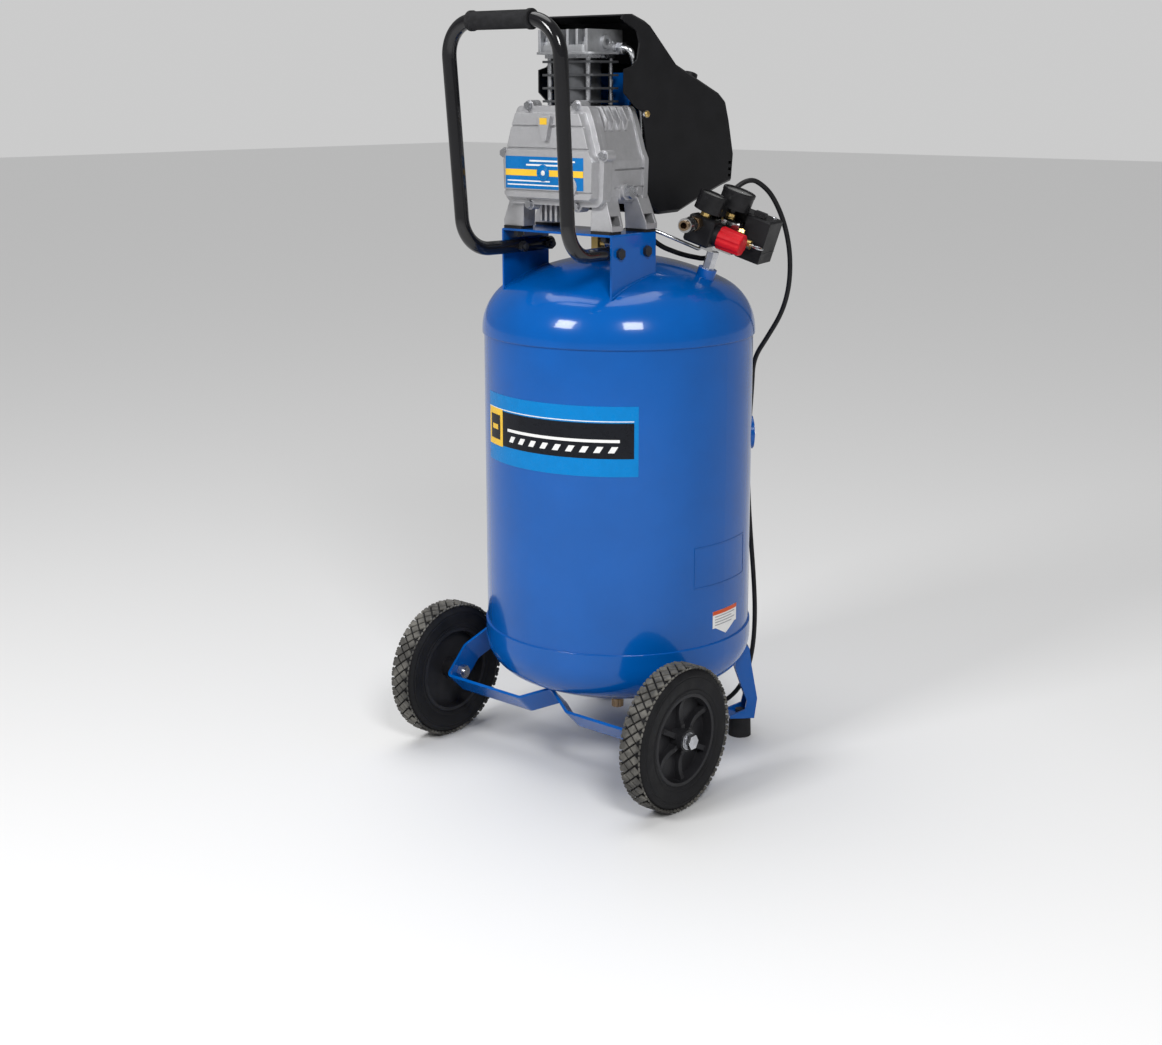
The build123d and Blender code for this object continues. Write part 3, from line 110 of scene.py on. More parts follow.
def outward(piece):
    """Turn a closed piece's normals outwards."""
    pick(piece)
    bpy.ops.object.mode_set(mode="EDIT")
    bpy.ops.mesh.select_all(action="SELECT")
    bpy.ops.mesh.normals_make_consistent(inside=False)
    bpy.ops.object.mode_set(mode="OBJECT")


def smooth(piece, angle=35):
    """Shade a piece smooth across gentle edges."""
    pick(piece)
    bpy.ops.object.shade_smooth_by_angle(angle=radians(angle))


def bevelled(piece, width, segments=2, angle=30):
    """Round a piece's edges and apply the modifier."""
    modified(piece, "BEVEL", width=width, segments=segments, limit_method="ANGLE", angle_limit=radians(angle))


def aimed(direction, across=(1, 0, 0)):
    """The rotation that takes +Z to a direction and +X as near as it can to another."""
    z = Vector(direction).normalized()
    x = Vector(across)
    x = (x - z * x.dot(z)).normalized()
    y = z.cross(x)
    return Matrix((x, y, z)).transposed()


def place(piece, origin, direction=(0, 0, 1), across=(1, 0, 0)):
    """Stand a piece made about the origin on a point, along a direction."""
    piece.matrix_world = Matrix.Translation(origin) @ aimed(direction, across).to_4x4()
    return settle(piece)


def cylinder(radius, length, sides=48):
    """A cylinder whose base sits on the origin."""
    bpy.ops.mesh.primitive_cylinder_add(vertices=sides, radius=radius, depth=length,
                                        location=(0, 0, length / 2))
    return settle(bpy.context.object)


def drawn(name, points, edges, faces):
    """A piece of given points, edges and faces."""
    mesh = bpy.data.meshes.new(name)
    mesh.from_pydata(points, edges, faces)
    piece = bpy.data.objects.new(name, mesh)
    bpy.context.collection.objects.link(piece)
    return piece


def lathe(profile, steps, name, direction, origin, across=(1, 0, 0)):
    """Turn a profile of (radius, height) points about an axis."""
    edges = [(i, i + 1) for i in range(len(profile) - 1)]
    piece = drawn(name, [(r, 0, z) for r, z in profile], edges, [])
    modified(piece, "SCREW", steps=steps, render_steps=steps, use_merge_vertices=True, merge_threshold=1e-6)
    outward(piece)
    return place(piece, origin, direction, across)


def ride_all(pieces, body):
    """Let pieces follow a body."""
    for piece in pieces:
        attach(piece, body)


def bar(points, radius, name, closed=False, spline="POLY", resolution=4):
    """A round bar along points, as a curve."""
    curve = bpy.data.curves.new(name, "CURVE")
    curve.dimensions = "3D"
    curve.bevel_depth = radius
    curve.bevel_resolution = resolution
    curve.use_fill_caps = True
    line = curve.splines.new(spline)
    line.points.add(len(points) - 1)
    for point, place_at in zip(line.points, points):
        point.co = (*place_at, 1)
    line.use_cyclic_u = closed
    if spline == "NURBS":
        line.order_u = 3
        line.use_endpoint_u = not closed
    piece = bpy.data.objects.new(name, curve)
    bpy.context.collection.objects.link(piece)
    return piece


def tube(points, radius, name, **shape):
    """A round bar along points, as a mesh."""
    pick(bar(points, radius, name, **shape))
    bpy.ops.object.convert(target="MESH")
    piece = named(name)
    smooth(piece, 60)
    return piece


def dress(piece, material):
    """Give a piece one material."""
    piece.data.materials.clear()
    piece.data.materials.append(material)
    return piece


# ------------------------------------------------------------------ surface groups
def skin_group(name, stretch, scale_up, blotch, height, grain="noise", edge=0.0005):
    """A node group: a blotch mask and a bumped normal from the object's coordinates."""
    group = bpy.data.node_groups.new(name, "ShaderNodeTree")
    group.interface.new_socket("Scale", in_out="INPUT", socket_type="NodeSocketFloat")
    group.interface.new_socket("Mask", in_out="OUTPUT", socket_type="NodeSocketFloat")
    group.interface.new_socket("Normal", in_out="OUTPUT", socket_type="NodeSocketVector")
    nodes, links = group.nodes, group.links
    entry = nodes.new("NodeGroupInput")
    leave = nodes.new("NodeGroupOutput")
    where = nodes.new("ShaderNodeTexCoord")
    mapping = nodes.new("ShaderNodeMapping")
    mapping.inputs["Scale"].default_value = stretch
    links.new(where.outputs["Object"], mapping.inputs["Vector"])
    if grain == "noise":
        fine = nodes.new("ShaderNodeTexNoise")
        fine.inputs["Detail"].default_value = 3.0
        relief = fine.outputs["Fac"]
    else:
        fine = nodes.new("ShaderNodeTexVoronoi")
        relief = fine.outputs["Distance"]
    links.new(mapping.outputs["Vector"], fine.inputs["Vector"])
    links.new(entry.outputs["Scale"], fine.inputs["Scale"])
    broad = nodes.new("ShaderNodeTexNoise")
    broad.inputs["Scale"].default_value = scale_up
    broad.inputs["Detail"].default_value = 5.0
    broad.inputs["Roughness"].default_value = 0.62
    links.new(where.outputs["Object"], broad.inputs["Vector"])
    spread = nodes.new("ShaderNodeMapRange")
    spread.inputs["From Min"].default_value = blotch[0]
    spread.inputs["From Max"].default_value = blotch[1]
    links.new(broad.outputs["Fac"], spread.inputs["Value"])
    rounded = nodes.new("ShaderNodeBevel")
    rounded.samples = 4
    rounded.inputs["Radius"].default_value = edge
    bump = nodes.new("ShaderNodeBump")
    bump.inputs["Strength"].default_value = height[0]
    bump.inputs["Distance"].default_value = height[1]
    links.new(relief, bump.inputs["Height"])
    links.new(rounded.outputs["Normal"], bump.inputs["Normal"])
    links.new(spread.outputs["Result"], leave.inputs["Mask"])
    links.new(bump.outputs["Normal"], leave.inputs["Normal"])
    return group


SKINS = {
    # name: stretch, blotch size, blotch range, bump strength and depth, grain, edge radius
    "Enamel": ((1, 1, 1), 9.0, (0.40, 0.66), (0.05, 0.0002), "noise", 0.0006),
    "Casting": ((1, 1, 1), 55.0, (0.34, 0.68), (0.50, 0.0005), "noise", 0.0012),
    "Moulded": ((1, 1, 1), 26.0, (0.36, 0.66), (0.28, 0.0003), "voronoi", 0.0008),
    "Turned": ((1, 1, 30), 60.0, (0.36, 0.64), (0.10, 0.0002), "noise", 0.0003),
    "Rubber": ((1, 1, 1), 38.0, (0.42, 0.64), (0.35, 0.0004), "noise", 0.0006),
    "Foam": ((1, 1, 1), 120.0, (0.36, 0.64), (0.90, 0.0006), "voronoi", 0.0004),
    "Cable": ((1, 1, 1), 90.0, (0.38, 0.66), (0.12, 0.0002), "noise", 0.0002),
}


def finish(name, skin, scale, colour, second, metallic, rough, rough_to, coat=0.0):
    """A material whose tone and gloss follow its skin's mask."""
    material = bpy.data.materials.new(name)
    material.use_nodes = True
    nodes, links = material.node_tree.nodes, material.node_tree.links
    shader = nodes["Principled BSDF"]
    shader.inputs["Metallic"].default_value = metallic
    shader.inputs["Coat Weight"].default_value = coat
    shader.inputs["Coat Roughness"].default_value = 0.06
    shader.inputs["Specular IOR Level"].default_value = 0.5 if metallic else 0.16
    group = nodes.new("ShaderNodeGroup")
    group.node_tree = bpy.data.node_groups[skin]
    group.inputs["Scale"].default_value = scale
    mix = nodes.new("ShaderNodeMix")
    mix.data_type = "RGBA"
    mix.inputs[6].default_value = (*colour, 1)
    mix.inputs[7].default_value = (*second, 1)
    gloss = nodes.new("ShaderNodeMapRange")
    gloss.inputs["To Min"].default_value = rough
    gloss.inputs["To Max"].default_value = rough_to
    links.new(group.outputs["Mask"], mix.inputs[0])
    links.new(mix.outputs[2], shader.inputs["Base Color"])
    links.new(group.outputs["Mask"], gloss.inputs["Value"])
    links.new(gloss.outputs["Result"], shader.inputs["Roughness"])
    links.new(group.outputs["Normal"], shader.inputs["Normal"])
    return material


def shade(colour, factor):
    """A colour made lighter or darker."""
    return tuple(min(1.0, part * factor) for part in colour)


MATERIALS = {
    # name: skin, grain scale, colour, second tone as a factor, metallic, roughness range, coat
    "tyre": ("Rubber", 900, (0.009, 0.009, 0.010), 1.7, 0.0, (0.55, 0.8), 0.0),
    "rubber": ("Rubber", 1200, (0.013, 0.013, 0.014), 1.5, 0.0, (0.5, 0.7), 0.0),
    "foam": ("Foam", 1500, (0.012, 0.012, 0.013), 2.0, 0.0, (0.75, 0.92), 0.0),
    "moulding": ("Moulded", 1500, (0.0075, 0.0075, 0.0085), 1.5, 0.0, (0.34, 0.48), 0.0),
    "hub plastic": ("Moulded", 1100, (0.016, 0.016, 0.018), 1.5, 0.0, (0.32, 0.46), 0.0),
    "gauge case": ("Cable", 1600, (0.010, 0.010, 0.011), 1.4, 0.0, (0.18, 0.3), 0.0),
    "powder coat": ("Enamel", 1400, (0.006, 0.006, 0.007), 1.4, 0.0, (0.14, 0.22), 0.6),
    "cast alloy": ("Casting", 1500, (0.50, 0.50, 0.515), 0.86, 0.7, (0.40, 0.52), 0.0),
    "head alloy": ("Casting", 1300, (0.50, 0.51, 0.53), 0.66, 0.85, (0.36, 0.55), 0.0),
    "cast iron": ("Casting", 1200, (0.085, 0.088, 0.095), 0.60, 0.45, (0.42, 0.6), 0.0),
    "black bolt": ("Turned", 600, (0.035, 0.036, 0.040), 1.6, 0.7, (0.26, 0.42), 0.0),
    "zinc": ("Turned", 500, (0.62, 0.63, 0.66), 0.78, 1.0, (0.2, 0.36), 0.0),
    "nickel": ("Turned", 600, (0.55, 0.54, 0.53), 0.72, 1.0, (0.16, 0.32), 0.0),
    "tube": ("Turned", 400, (0.60, 0.61, 0.63), 0.80, 1.0, (0.22, 0.34), 0.0),
    "brass": ("Turned", 500, (0.58, 0.40, 0.15), 0.66, 1.0, (0.22, 0.38), 0.0),
    "bronze": ("Turned", 500, (0.34, 0.24, 0.15), 0.7, 1.0, (0.24, 0.4), 0.0),
    "cable": ("Cable", 1500, (0.010, 0.010, 0.011), 1.6, 0.0, (0.32, 0.46), 0.0),
}

PRINTS = {
    # name: colour, second tone as a factor, roughness range
    "white print": ((0.78, 0.78, 0.77), 0.94, (0.25, 0.34)),
    "dial white": ((0.82, 0.82, 0.80), 0.96, (0.4, 0.5)),
    "light blue print": ((0.0, 0.19, 0.52), 0.93, (0.25, 0.34)),
    "sticker blue": ((0.006, 0.15, 0.43), 0.9, (0.25, 0.34)),
    "black print": ((0.006, 0.007, 0.010), 1.3, (0.25, 0.34)),
    "yellow print": ((0.80, 0.50, 0.045), 0.94, (0.25, 0.34)),
    "orange print": ((0.62, 0.085, 0.02), 0.92, (0.25, 0.34)),
    "grey print": ((0.30, 0.31, 0.33), 0.9, (0.3, 0.4)),
    "red needle": ((0.55, 0.02, 0.02), 0.8, (0.3, 0.4)),
}

NODE_FINISH = {
    "enamel": "top_head bottom_head tank_shell tank_bungs wheel_strap rear_legs saddle_bracket "
              "motor_end_bells motor_stator",
    "rubber": "rubber_feet pump_pads",
    "hub plastic": "right_hub left_hub",
    "moulding": "shroud cooling_fan regulator_body pressure_switch switch_knob",
    "gauge case": "pressure_gauges",
    "powder coat": "handle_tube",
    "cast alloy": "crankcase crankcase_cover",
    "head alloy": "cylinder_head",
    "cast iron": "cylinder piston connecting_rod crankshaft rotor",
    "black bolt": "frame_bolts",
    "zinc": "axle_bolts case_screws head_bolts pipe_plugs wrist_pin bearings valve_plate "
            "safety_ring manifold_nipple",
    "nickel": "manifold_body coupler_sleeve",
    "bronze": "coupler_body drain_knob",
    "tube": "discharge_tube unloader_tube",
    "brass": "check_valve safety_valve drain_valve",
    "red knob": "regulator_knob",
    "red needle": "tank_needle outlet_needle",
    "cable": "power_plug motor_cable",
    "glass": "sight_glass",
}


def material(name):
    """A finished material by name."""
    return bpy.data.materials[name]


# ------------------------------------------------------------------ settings
class CompressorFinish(bpy.types.PropertyGroup):
    enamel: FloatVectorProperty(
        name="Enamel", description="Colour of the tank and its frame",
        subtype="COLOR", size=3, min=0, max=1, default=(0.0, 0.088, 0.37))
    knob: FloatVectorProperty(
        name="Knob", description="Colour of the regulator's knob",
        subtype="COLOR", size=3, min=0, max=1, default=(0.56, 0.008, 0.016))
    coat: FloatProperty(
        name="Clear coat", description="Weight of the enamel's clear coat",
        subtype="FACTOR", min=0, max=1, default=0.42)


class CompressorCord(bpy.types.PropertyGroup):
    diameter: FloatProperty(
        name="Diameter", description="Outside diameter of the mains cord",
        subtype="DISTANCE", unit="LENGTH", min=0.004, max=0.012, default=0.007)
    coil_radius: FloatProperty(
        name="Coil radius", description="Middle radius of the coil on the floor",
        subtype="DISTANCE", unit="LENGTH", min=0.03, max=0.1, default=0.040)
    per_turn: IntProperty(
        name="Points per turn", description="Control points in each turn of the coil",
        min=12, max=32, default=18)


class CompressorTyres(bpy.types.PropertyGroup):
    blocks: IntProperty(
        name="Tread blocks", description="Diamonds round the tyre", min=12, max=72, default=40)
    depth: FloatProperty(
        name="Tread depth", description="Height of a diamond",
        subtype="DISTANCE", unit="LENGTH", min=0.0005, max=0.006, default=0.0026)
    dust: FloatVectorProperty(
        name="Dust", description="Colour of the dust on the tread",
        subtype="COLOR", size=3, min=0, max=1, default=(0.150, 0.144, 0.130))


class CompressorLabels(bpy.types.PropertyGroup):
    thickness: FloatProperty(
        name="Thickness", description="Thickness of a label above the paint",
        subtype="DISTANCE", unit="LENGTH", min=0.00005, max=0.001, default=0.00025)
    show_warning: BoolProperty(
        name="Warning label", description="Add the white label low on the tank", default=True)


class CompressorStage(bpy.types.PropertyGroup):
    key: FloatProperty(
        name="Key lights", description="Power of each of the two front softboxes",
        subtype="POWER", unit="POWER", min=0, max=1000, default=50.0)
    ceiling: FloatProperty(
        name="Ceiling", description="Strength of the broad light from above", min=0, max=10, default=1.7)
    world: FloatProperty(
        name="Surround", description="Strength of the pale surround", min=0, max=4, default=0.20)


class FinishOperator(bpy.types.Operator):
    """Make the procedural materials and give each CAD node in the table its own"""

    bl_idname = "compressor.finishes"
    bl_label = "Finishes"

    def execute(self, context):
        settings = context.scene.compressor_finish
        for name, (stretch, blotch, spread, height, grain, edge) in SKINS.items():
            skin_group(name, stretch, blotch, spread, height, grain, edge)
        for name, (skin, scale, colour, second, metallic, rough, coat) in MATERIALS.items():
            finish(name, skin, scale, colour, shade(colour, second), metallic, *rough, coat)
        for name, (colour, second, rough) in PRINTS.items():
            finish(name, "Cable", 2000, colour, shade(colour, second), 0.0, *rough)
        paint = tuple(settings.enamel)
        finish("enamel", "Enamel", 700, paint, shade(paint, 0.9), 0.0, 0.16, 0.24, settings.coat)
        knob = tuple(settings.knob)
        finish("red knob", "Moulded", 1400, knob, shade(knob, 0.8), 0.0, 0.3, 0.42)
        self.clear("glass", (0.95, 0.96, 0.95))
        self.dusty(context.scene.compressor_tyres.dust)
        for name, nodes in NODE_FINISH.items():
            for node in nodes.split():
                dress(CAD[node], material(name))
        return {"FINISHED"}

    def clear(self, name, colour):
        """Clear plastic: mostly see-through, with its gloss kept and faint scuffs."""
        glass = finish(name, "Cable", 900, colour, colour, 0.0, 0.03, 0.09, 0.6)
        glass.node_tree.nodes["Principled BSDF"].inputs["Alpha"].default_value = 0.16

    def dusty(self, dust):
        """Tread rubber with pale dust on its blocks."""
        colour = (0.060, 0.058, 0.054)
        finish("tread", "Rubber", 500, colour, tuple(dust), 0.0, 0.62, 0.85)


# ------------------------------------------------------------------ mains cord
EXIT = Vector((0.133833, 0.114212, 0.810298))
EXIT_WAY = Vector((0.3607, 0.6568, 0.6601)).normalized()
RELIEF_LENGTH = 0.030
COIL_MIDDLE = Vector((-0.006, 0.140, 0))
FLOOR_LIFT = 0.0037


def behind(radius, angle, z):
    """A point behind the tank: distance from its axis, angle from +X and height."""
    return (radius * cos(radians(angle)), TANK_Y + radius * sin(radians(angle)), z)


def cord_run():
    """The listed points from the strain relief down to the floor."""
    return [
        tuple(EXIT),
        tuple(EXIT + EXIT_WAY * 0.028),
        (0.162, 0.154, 0.812), (0.170, 0.171, 0.785), (0.175, 0.184, 0.753), (0.177, 0.193, 0.715),
        (0.173, 0.198, 0.672), (0.161, 0.199, 0.634), (0.142, 0.194, 0.600),
        behind(0.202, 54, 0.564), behind(0.208, 59, 0.520), behind(0.211, 62.5, 0.468),
        behind(0.211, 63.5, 0.408), behind(0.211, 62, 0.346), behind(0.212, 59.5, 0.286),
        behind(0.214, 57, 0.228), behind(0.215, 55.5, 0.174), behind(0.213, 55.5, 0.124),
        behind(0.208, 58, 0.080), behind(0.200, 63, 0.044), behind(0.189, 71, 0.017),
        behind(0.177, 80, FLOOR_LIFT), (0.004, TANK_Y + 0.1637, FLOOR_LIFT),
    ]


def cord_coil(radius, width, per_turn):
    """The turns on the floor: an outer one, an inner one, and a last one on top of both."""
    points = []
    step = 360 / per_turn
    start, total = 100.0, 890.0
    swell = 1 / (0.5 + 0.5 * cos(radians(step)) + 0.25 * (1 - cos(radians(step))))
    for k in range(int(total / step) + 1):
        turned = k * step
        across = min(1.0, max(0.0, (turned - 300) / 60))
        climb = min(1.0, max(0.0, (turned - 540) / 60))
        r = radius + 0.52 * width * (1 - 2 * across + climb**2)
        z = FLOOR_LIFT + 1.03 * width * sqrt(climb)
        angle = radians(start + turned)
        points.append((COIL_MIDDLE.x + r * swell * cos(angle), COIL_MIDDLE.y + r * swell * sin(angle), z))
    return points


class CordOperator(bpy.types.Operator):
    """Lay the mains cord from its strain relief to the coil and the plug on the floor"""

    bl_idname = "compressor.cord"
    bl_label = "Mains cord"

    def execute(self, context):
        settings = context.scene.compressor_cord
        width = settings.diameter
        points = cord_run() + cord_coil(settings.coil_radius, width, settings.per_turn)
        low = COIL_MIDDLE.y - settings.coil_radius
        points.append((0.004, low, 0.0110))
        points.append((0.016, low, 0.0110))
        cord = bar(points, width / 2, "mains_cord", spline="NURBS", resolution=5)
        cord.data.resolution_u = 8
        dress(cord, material("cable"))
        relief = self.relief(width)
        ride_all([cord], "frame")
        ride_all([relief], "frame")
        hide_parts("power_cord", "cord_coil")
        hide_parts("cord_relief")
        curve_length(cord)
        return {"FINISHED"}

    def relief(self, width):
        """A tapered sleeve with grooves round it."""
        grooves = 5
        profile = [(0.0, 0.0), (0.0072, 0.0), (0.0072, 0.0075)]
        for k in range(grooves):
            z = 0.0085 + k * 0.0038
            wide = 0.0068 - k * 0.00042
            narrow = wide - 0.0009
            profile += [(wide, z), (wide, z + 0.0018), (narrow, z + 0.0022), (narrow, z + 0.0032)]
        profile += [(width / 2 + 0.0008, RELIEF_LENGTH - 0.0008), (width / 2 + 0.0003, RELIEF_LENGTH),
                    (0.0, RELIEF_LENGTH)]
        piece = lathe(profile, 40, "strain_relief", EXIT_WAY, EXIT - EXIT_WAY * RELIEF_LENGTH)
        smooth(piece, 30)
        return dress(piece, material("rubber"))


def curve_length(piece):
    """Length of a curve's own line, measured on a copy without thickness."""
    bare = piece.data.copy()
    bare.bevel_depth = 0
    probe = bpy.data.objects.new("Probe", bare)
    bpy.context.collection.objects.link(probe)
    bpy.context.view_layer.update()
    mesh = probe.evaluated_get(bpy.context.evaluated_depsgraph_get()).to_mesh()
    spots = [vertex.co for vertex in mesh.vertices]
    total = sum((spots[a] - spots[b]).length for a, b in (edge.vertices for edge in mesh.edges))
    bpy.data.objects.remove(probe)
    return total


# ------------------------------------------------------------------ tyres and grip
WHEEL_X, WHEEL_Y, WHEEL_R = 0.2149, TANK_Y - 0.140, 0.100


class TyreOperator(bpy.types.Operator):
    """Model both tyres: ribbed sidewalls and a tread of diamonds and shoulder lugs"""

    bl_idname = "compressor.tyres"
    bl_label = "Tyres"

    def execute(self, context):
        settings = context.scene.compressor_tyres
        for side, word in ((1, "right"), (-1, "left")):
            carcass = self.carcass(side, word)
            tread = self.tread(side, word, settings)
            ride_all([carcass, tread], f"{word}_wheel")
            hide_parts(f"{word}_tyre")
        return {"FINISHED"}

    def carcass(self, side, word):
        """The tyre without its blocks."""
        half = [(0.0632, 0.0172), (0.0655, 0.0188), (0.0680, 0.0192), (0.0692, 0.0184), (0.0704, 0.0184),
                (0.0716, 0.0192), (0.0845, 0.0191), (0.0853, 0.0184), (0.0868, 0.0184), (0.0876, 0.0187),
                (0.0915, 0.0172), (0.0945, 0.0148), (0.0960, 0.0115), (0.0966, 0.0060)]
        profile = half + [(r, -z) for r, z in reversed(half)] + [half[0]]
        piece = lathe(profile, 120, f"{word}_rubber", (side, 0, 0), (side * WHEEL_X, WHEEL_Y, WHEEL_R),
                      (0, 1, 0))
        smooth(piece, 40)
        return dress(piece, material("tyre"))

    def tread(self, side, word, settings):
        """Three rows of diamonds between two rows of lugs, repeated round the tyre."""
        foot = WHEEL_R - 0.0002 - settings.depth
        pitch = 2 * pi / settings.blocks
        parts = []
        for row, shift in ((-0.0090, 0.0), (0.0, 0.5), (0.0090, 0.0)):
            parts.append(self.block(4, 0.0068, 0.0076, settings.depth, foot, row, shift * pitch))
        for end in (1, -1):
            for shift in (0.25, 0.75):
                lug = self.block(6, 0.0034, 0.0026, settings.depth * 0.8, foot - 0.0014, end * 0.0150,
                                 shift * pitch, end * 38)
                parts.append(lug)
        unit = joined(parts, f"{word}_tread")
        bpy.ops.object.empty_add(location=(0, 0, 0), rotation=(0, 0, pitch))
        turn = bpy.context.object
        modified(unit, "ARRAY", count=settings.blocks, use_relative_offset=False, use_object_offset=True,
                 offset_object=turn)
        bpy.data.objects.remove(turn)
        piece = place(unit, (side * WHEEL_X, WHEEL_Y, WHEEL_R), (side, 0, 0), (0, 1, 0))
        return dress(piece, material("tread"))

    def block(self, sides, along, across, depth, foot, row, angle, lean=0):
        """One block of the tread, standing on the tyre at an angle round it."""
        bpy.ops.mesh.primitive_cone_add(vertices=sides, radius1=1.0, radius2=0.9, depth=depth)
        piece = bpy.context.object
        piece.scale = (across, along, 1)
        settle(piece)
        bevelled(piece, 0.00035, 1)
        outwards = Vector((cos(angle), sin(angle), 0))
        forwards = Vector((-sin(angle), cos(angle), 0))
        tilt = Matrix.Rotation(radians(lean), 4, forwards)
        stand = Matrix((Vector((0, 0, -1)), forwards, outwards)).transposed()
        spot = outwards * (foot + depth / 2) + Vector((0, 0, row))
        piece.matrix_world = Matrix.Translation(spot) @ tilt @ stand.to_4x4()
        return settle(piece)


class GripOperator(bpy.types.Operator):
    """Model the foam grip on the handle, with its end collars and fine rings"""

    bl_idname = "compressor.grip"
    bl_label = "Handle grip"

    def execute(self, context):
        half, rings = 0.054, 46
        pitch = (2 * half - 0.014) / rings
        profile = [(0.0096, -half), (0.0124, -half), (0.0131, -half + 0.001), (0.0131, -half + 0.0052),
                   (0.0121, -half + 0.0064)]
        for k in range(rings):
            z = -half + 0.007 + k * pitch
            profile += [(0.0116, z), (0.01185, z + pitch * 0.35), (0.0116, z + pitch * 0.7)]
        profile += [(0.0121, half - 0.0064), (0.0131, half - 0.0052), (0.0131, half - 0.001), (0.0124, half),
                    (0.0096, half), (0.0096, -half)]
        piece = lathe(profile, 56, "foam_grip", (1, 0, 0), (0, TANK_Y - 0.235, 1.032), (0, 1, 0))
        smooth(piece, 25)
        dress(piece, material("foam"))
        ride_all([piece], "frame")
        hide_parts("handle_grip")
        return {"FINISHED"}


# ------------------------------------------------------------------ gauges
GAUGES = {
    # name: needle's place, way the dial faces, way its foot points, dial radius, marks, top number
    "tank": ((0.162602, 0.084282, 0.806303), (0.340646, 0.105515, 0.934252),
             (0.248775, -0.968382, 0.018662), 0.0205, 21, 160),
    "outlet": ((0.150175, 0.041796, 0.802989), (0.359968, 0.141053, 0.92224),
               (0.260163, -0.96447, 0.045965), 0.0170, 17, 160),
}


class GaugeOperator(bpy.types.Operator):
    """Add dials with marks and numbers, clear lenses and bezels to both gauges"""

    bl_idname = "compressor.gauges"
    bl_label = "Gauges"

    def execute(self, context):
        for word, (origin, up, foot, radius, marks, top) in GAUGES.items():
            self.origin, self.up, self.foot = Vector(origin), Vector(up), Vector(foot)
            dial = lathe([(0, -0.0006), (radius - 0.0004, -0.0006), (radius - 0.0002, 0.0), (0, 0.0)], 64,
                         f"{word}_dial", up, self.at(0, 0, -0.0012), foot)
            pieces = [dress(dial, material("dial white"))]
            pieces.append(dress(self.scale(word, radius, marks), material("black print")))
            pieces.append(dress(self.numbers(word, radius, top), material("black print")))
            lens = lathe([(0, 0.0), (radius + 0.0002, 0.0), (radius + 0.0002, 0.0012), (radius * 0.6, 0.0021),
                          (0, 0.0024)], 64, f"{word}_lens", up, self.at(0, 0, 0.0030), foot)
            smooth(lens, 40)
            pieces.append(dress(lens, material("glass")))
            rim = radius + 0.0020
            bezel = lathe([(radius - 0.0006, 0.0), (radius - 0.0006, 0.0012), (radius, 0.0017),
                           (rim, 0.0017), (rim + 0.0006, 0.0010), (rim + 0.0006, -0.0030), (rim, -0.0030),
                           (rim, 0.0), (radius - 0.0006, 0.0)], 72, f"{word}_bezel", up,
                          self.at(0, 0, 0.0048), foot)
            smooth(bezel, 35)
            pieces.append(dress(bezel, material("gauge case")))
            ride_all(pieces, "frame")
        return {"FINISHED"}

    def at(self, down, right, height):
        """A point of the dial: down, right and up from its middle."""
        side = self.up.cross(self.foot)
        return self.origin + self.foot * down + side * right + self.up * height

    def scale(self, word, radius, marks):
        """Short and long marks over three quarters of a turn."""
        parts = []
        for k in range(marks):
            angle = radians(-45 - 270 * k / (marks - 1))
            long = k % 4 == 0
            size = 0.0032 if long else 0.0018
            bpy.ops.mesh.primitive_cube_add(size=1)
            mark = bpy.context.object
            mark.scale = (size, 0.0005 if long else 0.0003, 0.0002)
            settle(mark)
            middle = radius - 0.0016 - size / 2
            way = self.foot * cos(angle) + self.up.cross(self.foot) * sin(angle)
            place(mark, self.origin + way * middle + self.up * -0.0011, self.up, way)
            parts.append(mark)
        return joined(parts, f"{word}_scale")

    def numbers(self, word, radius, top):
        """Round numbers inside the marks."""
        parts = []
        side = self.up.cross(self.foot)
        for k in range(5):
            angle = radians(-45 - 270 * k / 4)
            bpy.ops.object.text_add()
            text = bpy.context.object
            text.data.body = str(int(top * k / 4))
            text.data.size = radius * 0.24
            text.data.align_x = "CENTER"
            text.data.align_y = "CENTER"
            text.data.extrude = 0.00008
            pick(text)
            bpy.ops.object.convert(target="MESH")
            text = bpy.context.object
            way = self.foot * cos(angle) + side * sin(angle)
            spot = self.origin + way * radius * 0.62 + self.up * -0.0011
            place(text, spot, self.up, side)
            parts.append(text)
        return joined(parts, f"{word}_numbers")


# ------------------------------------------------------------------ fittings
MANIFOLD = Matrix.Translation((0.136094, 0.064766, 0.729792)) @ Matrix((
    (0.922806, 0.230081, -0.309017), (-0.241922, 0.970296, 0.0), (0.299838, 0.074758, 0.951057),
)).transposed().to_4x4()
HEAD_PORT = (0.046, -0.031, 0.9995)
VALVE_PORT = (0.0160, -0.016, 0.7392)
UNLOADER_PORT = (0, -0.001, 0.7392)


def on_manifold(x, y, z):
    """A point of the manifold's tilted frame, given in millimetres."""
    return MANIFOLD @ Vector((x / 1000, y / 1000, z / 1000))


def manifold_way(x, y, z):
    """A direction of the manifold's tilted frame."""
    return MANIFOLD.to_3x3() @ Vector((x, y, z))


def nut(flats, length, bore, name, origin, direction, across=(0, 0, 1)):
    """A hex nut with rounded corners and a bore."""
    bpy.ops.mesh.primitive_cylinder_add(vertices=6, radius=flats / sqrt(3), depth=length,
                                        location=(0, 0, length / 2))
    piece = settle(bpy.context.object)
    bevelled(piece, min(flats, length) * 0.07, 2)
    drill = cylinder(bore, length * 3, 32)
    drill.location.z = -length
    settle(drill)
    cut_by(piece, drill)
    piece.name = name
    return place(piece, origin, direction, across)


def knurled(radius, length, ridges, name, origin, direction, across=(0, 0, 1)):
    """A turned collar with ridges along it."""
    turned = []
    for k in range(ridges * 2):
        angle = pi * k / ridges
        r = radius if k % 2 else radius * 0.94
        turned.append((r * cos(angle), r * sin(angle), 0))
    piece = drawn(name, turned, [], [tuple(range(len(turned)))])
    modified(piece, "SOLIDIFY", thickness=length, offset=1)
    outward(piece)
    return place(piece, origin, direction, across)


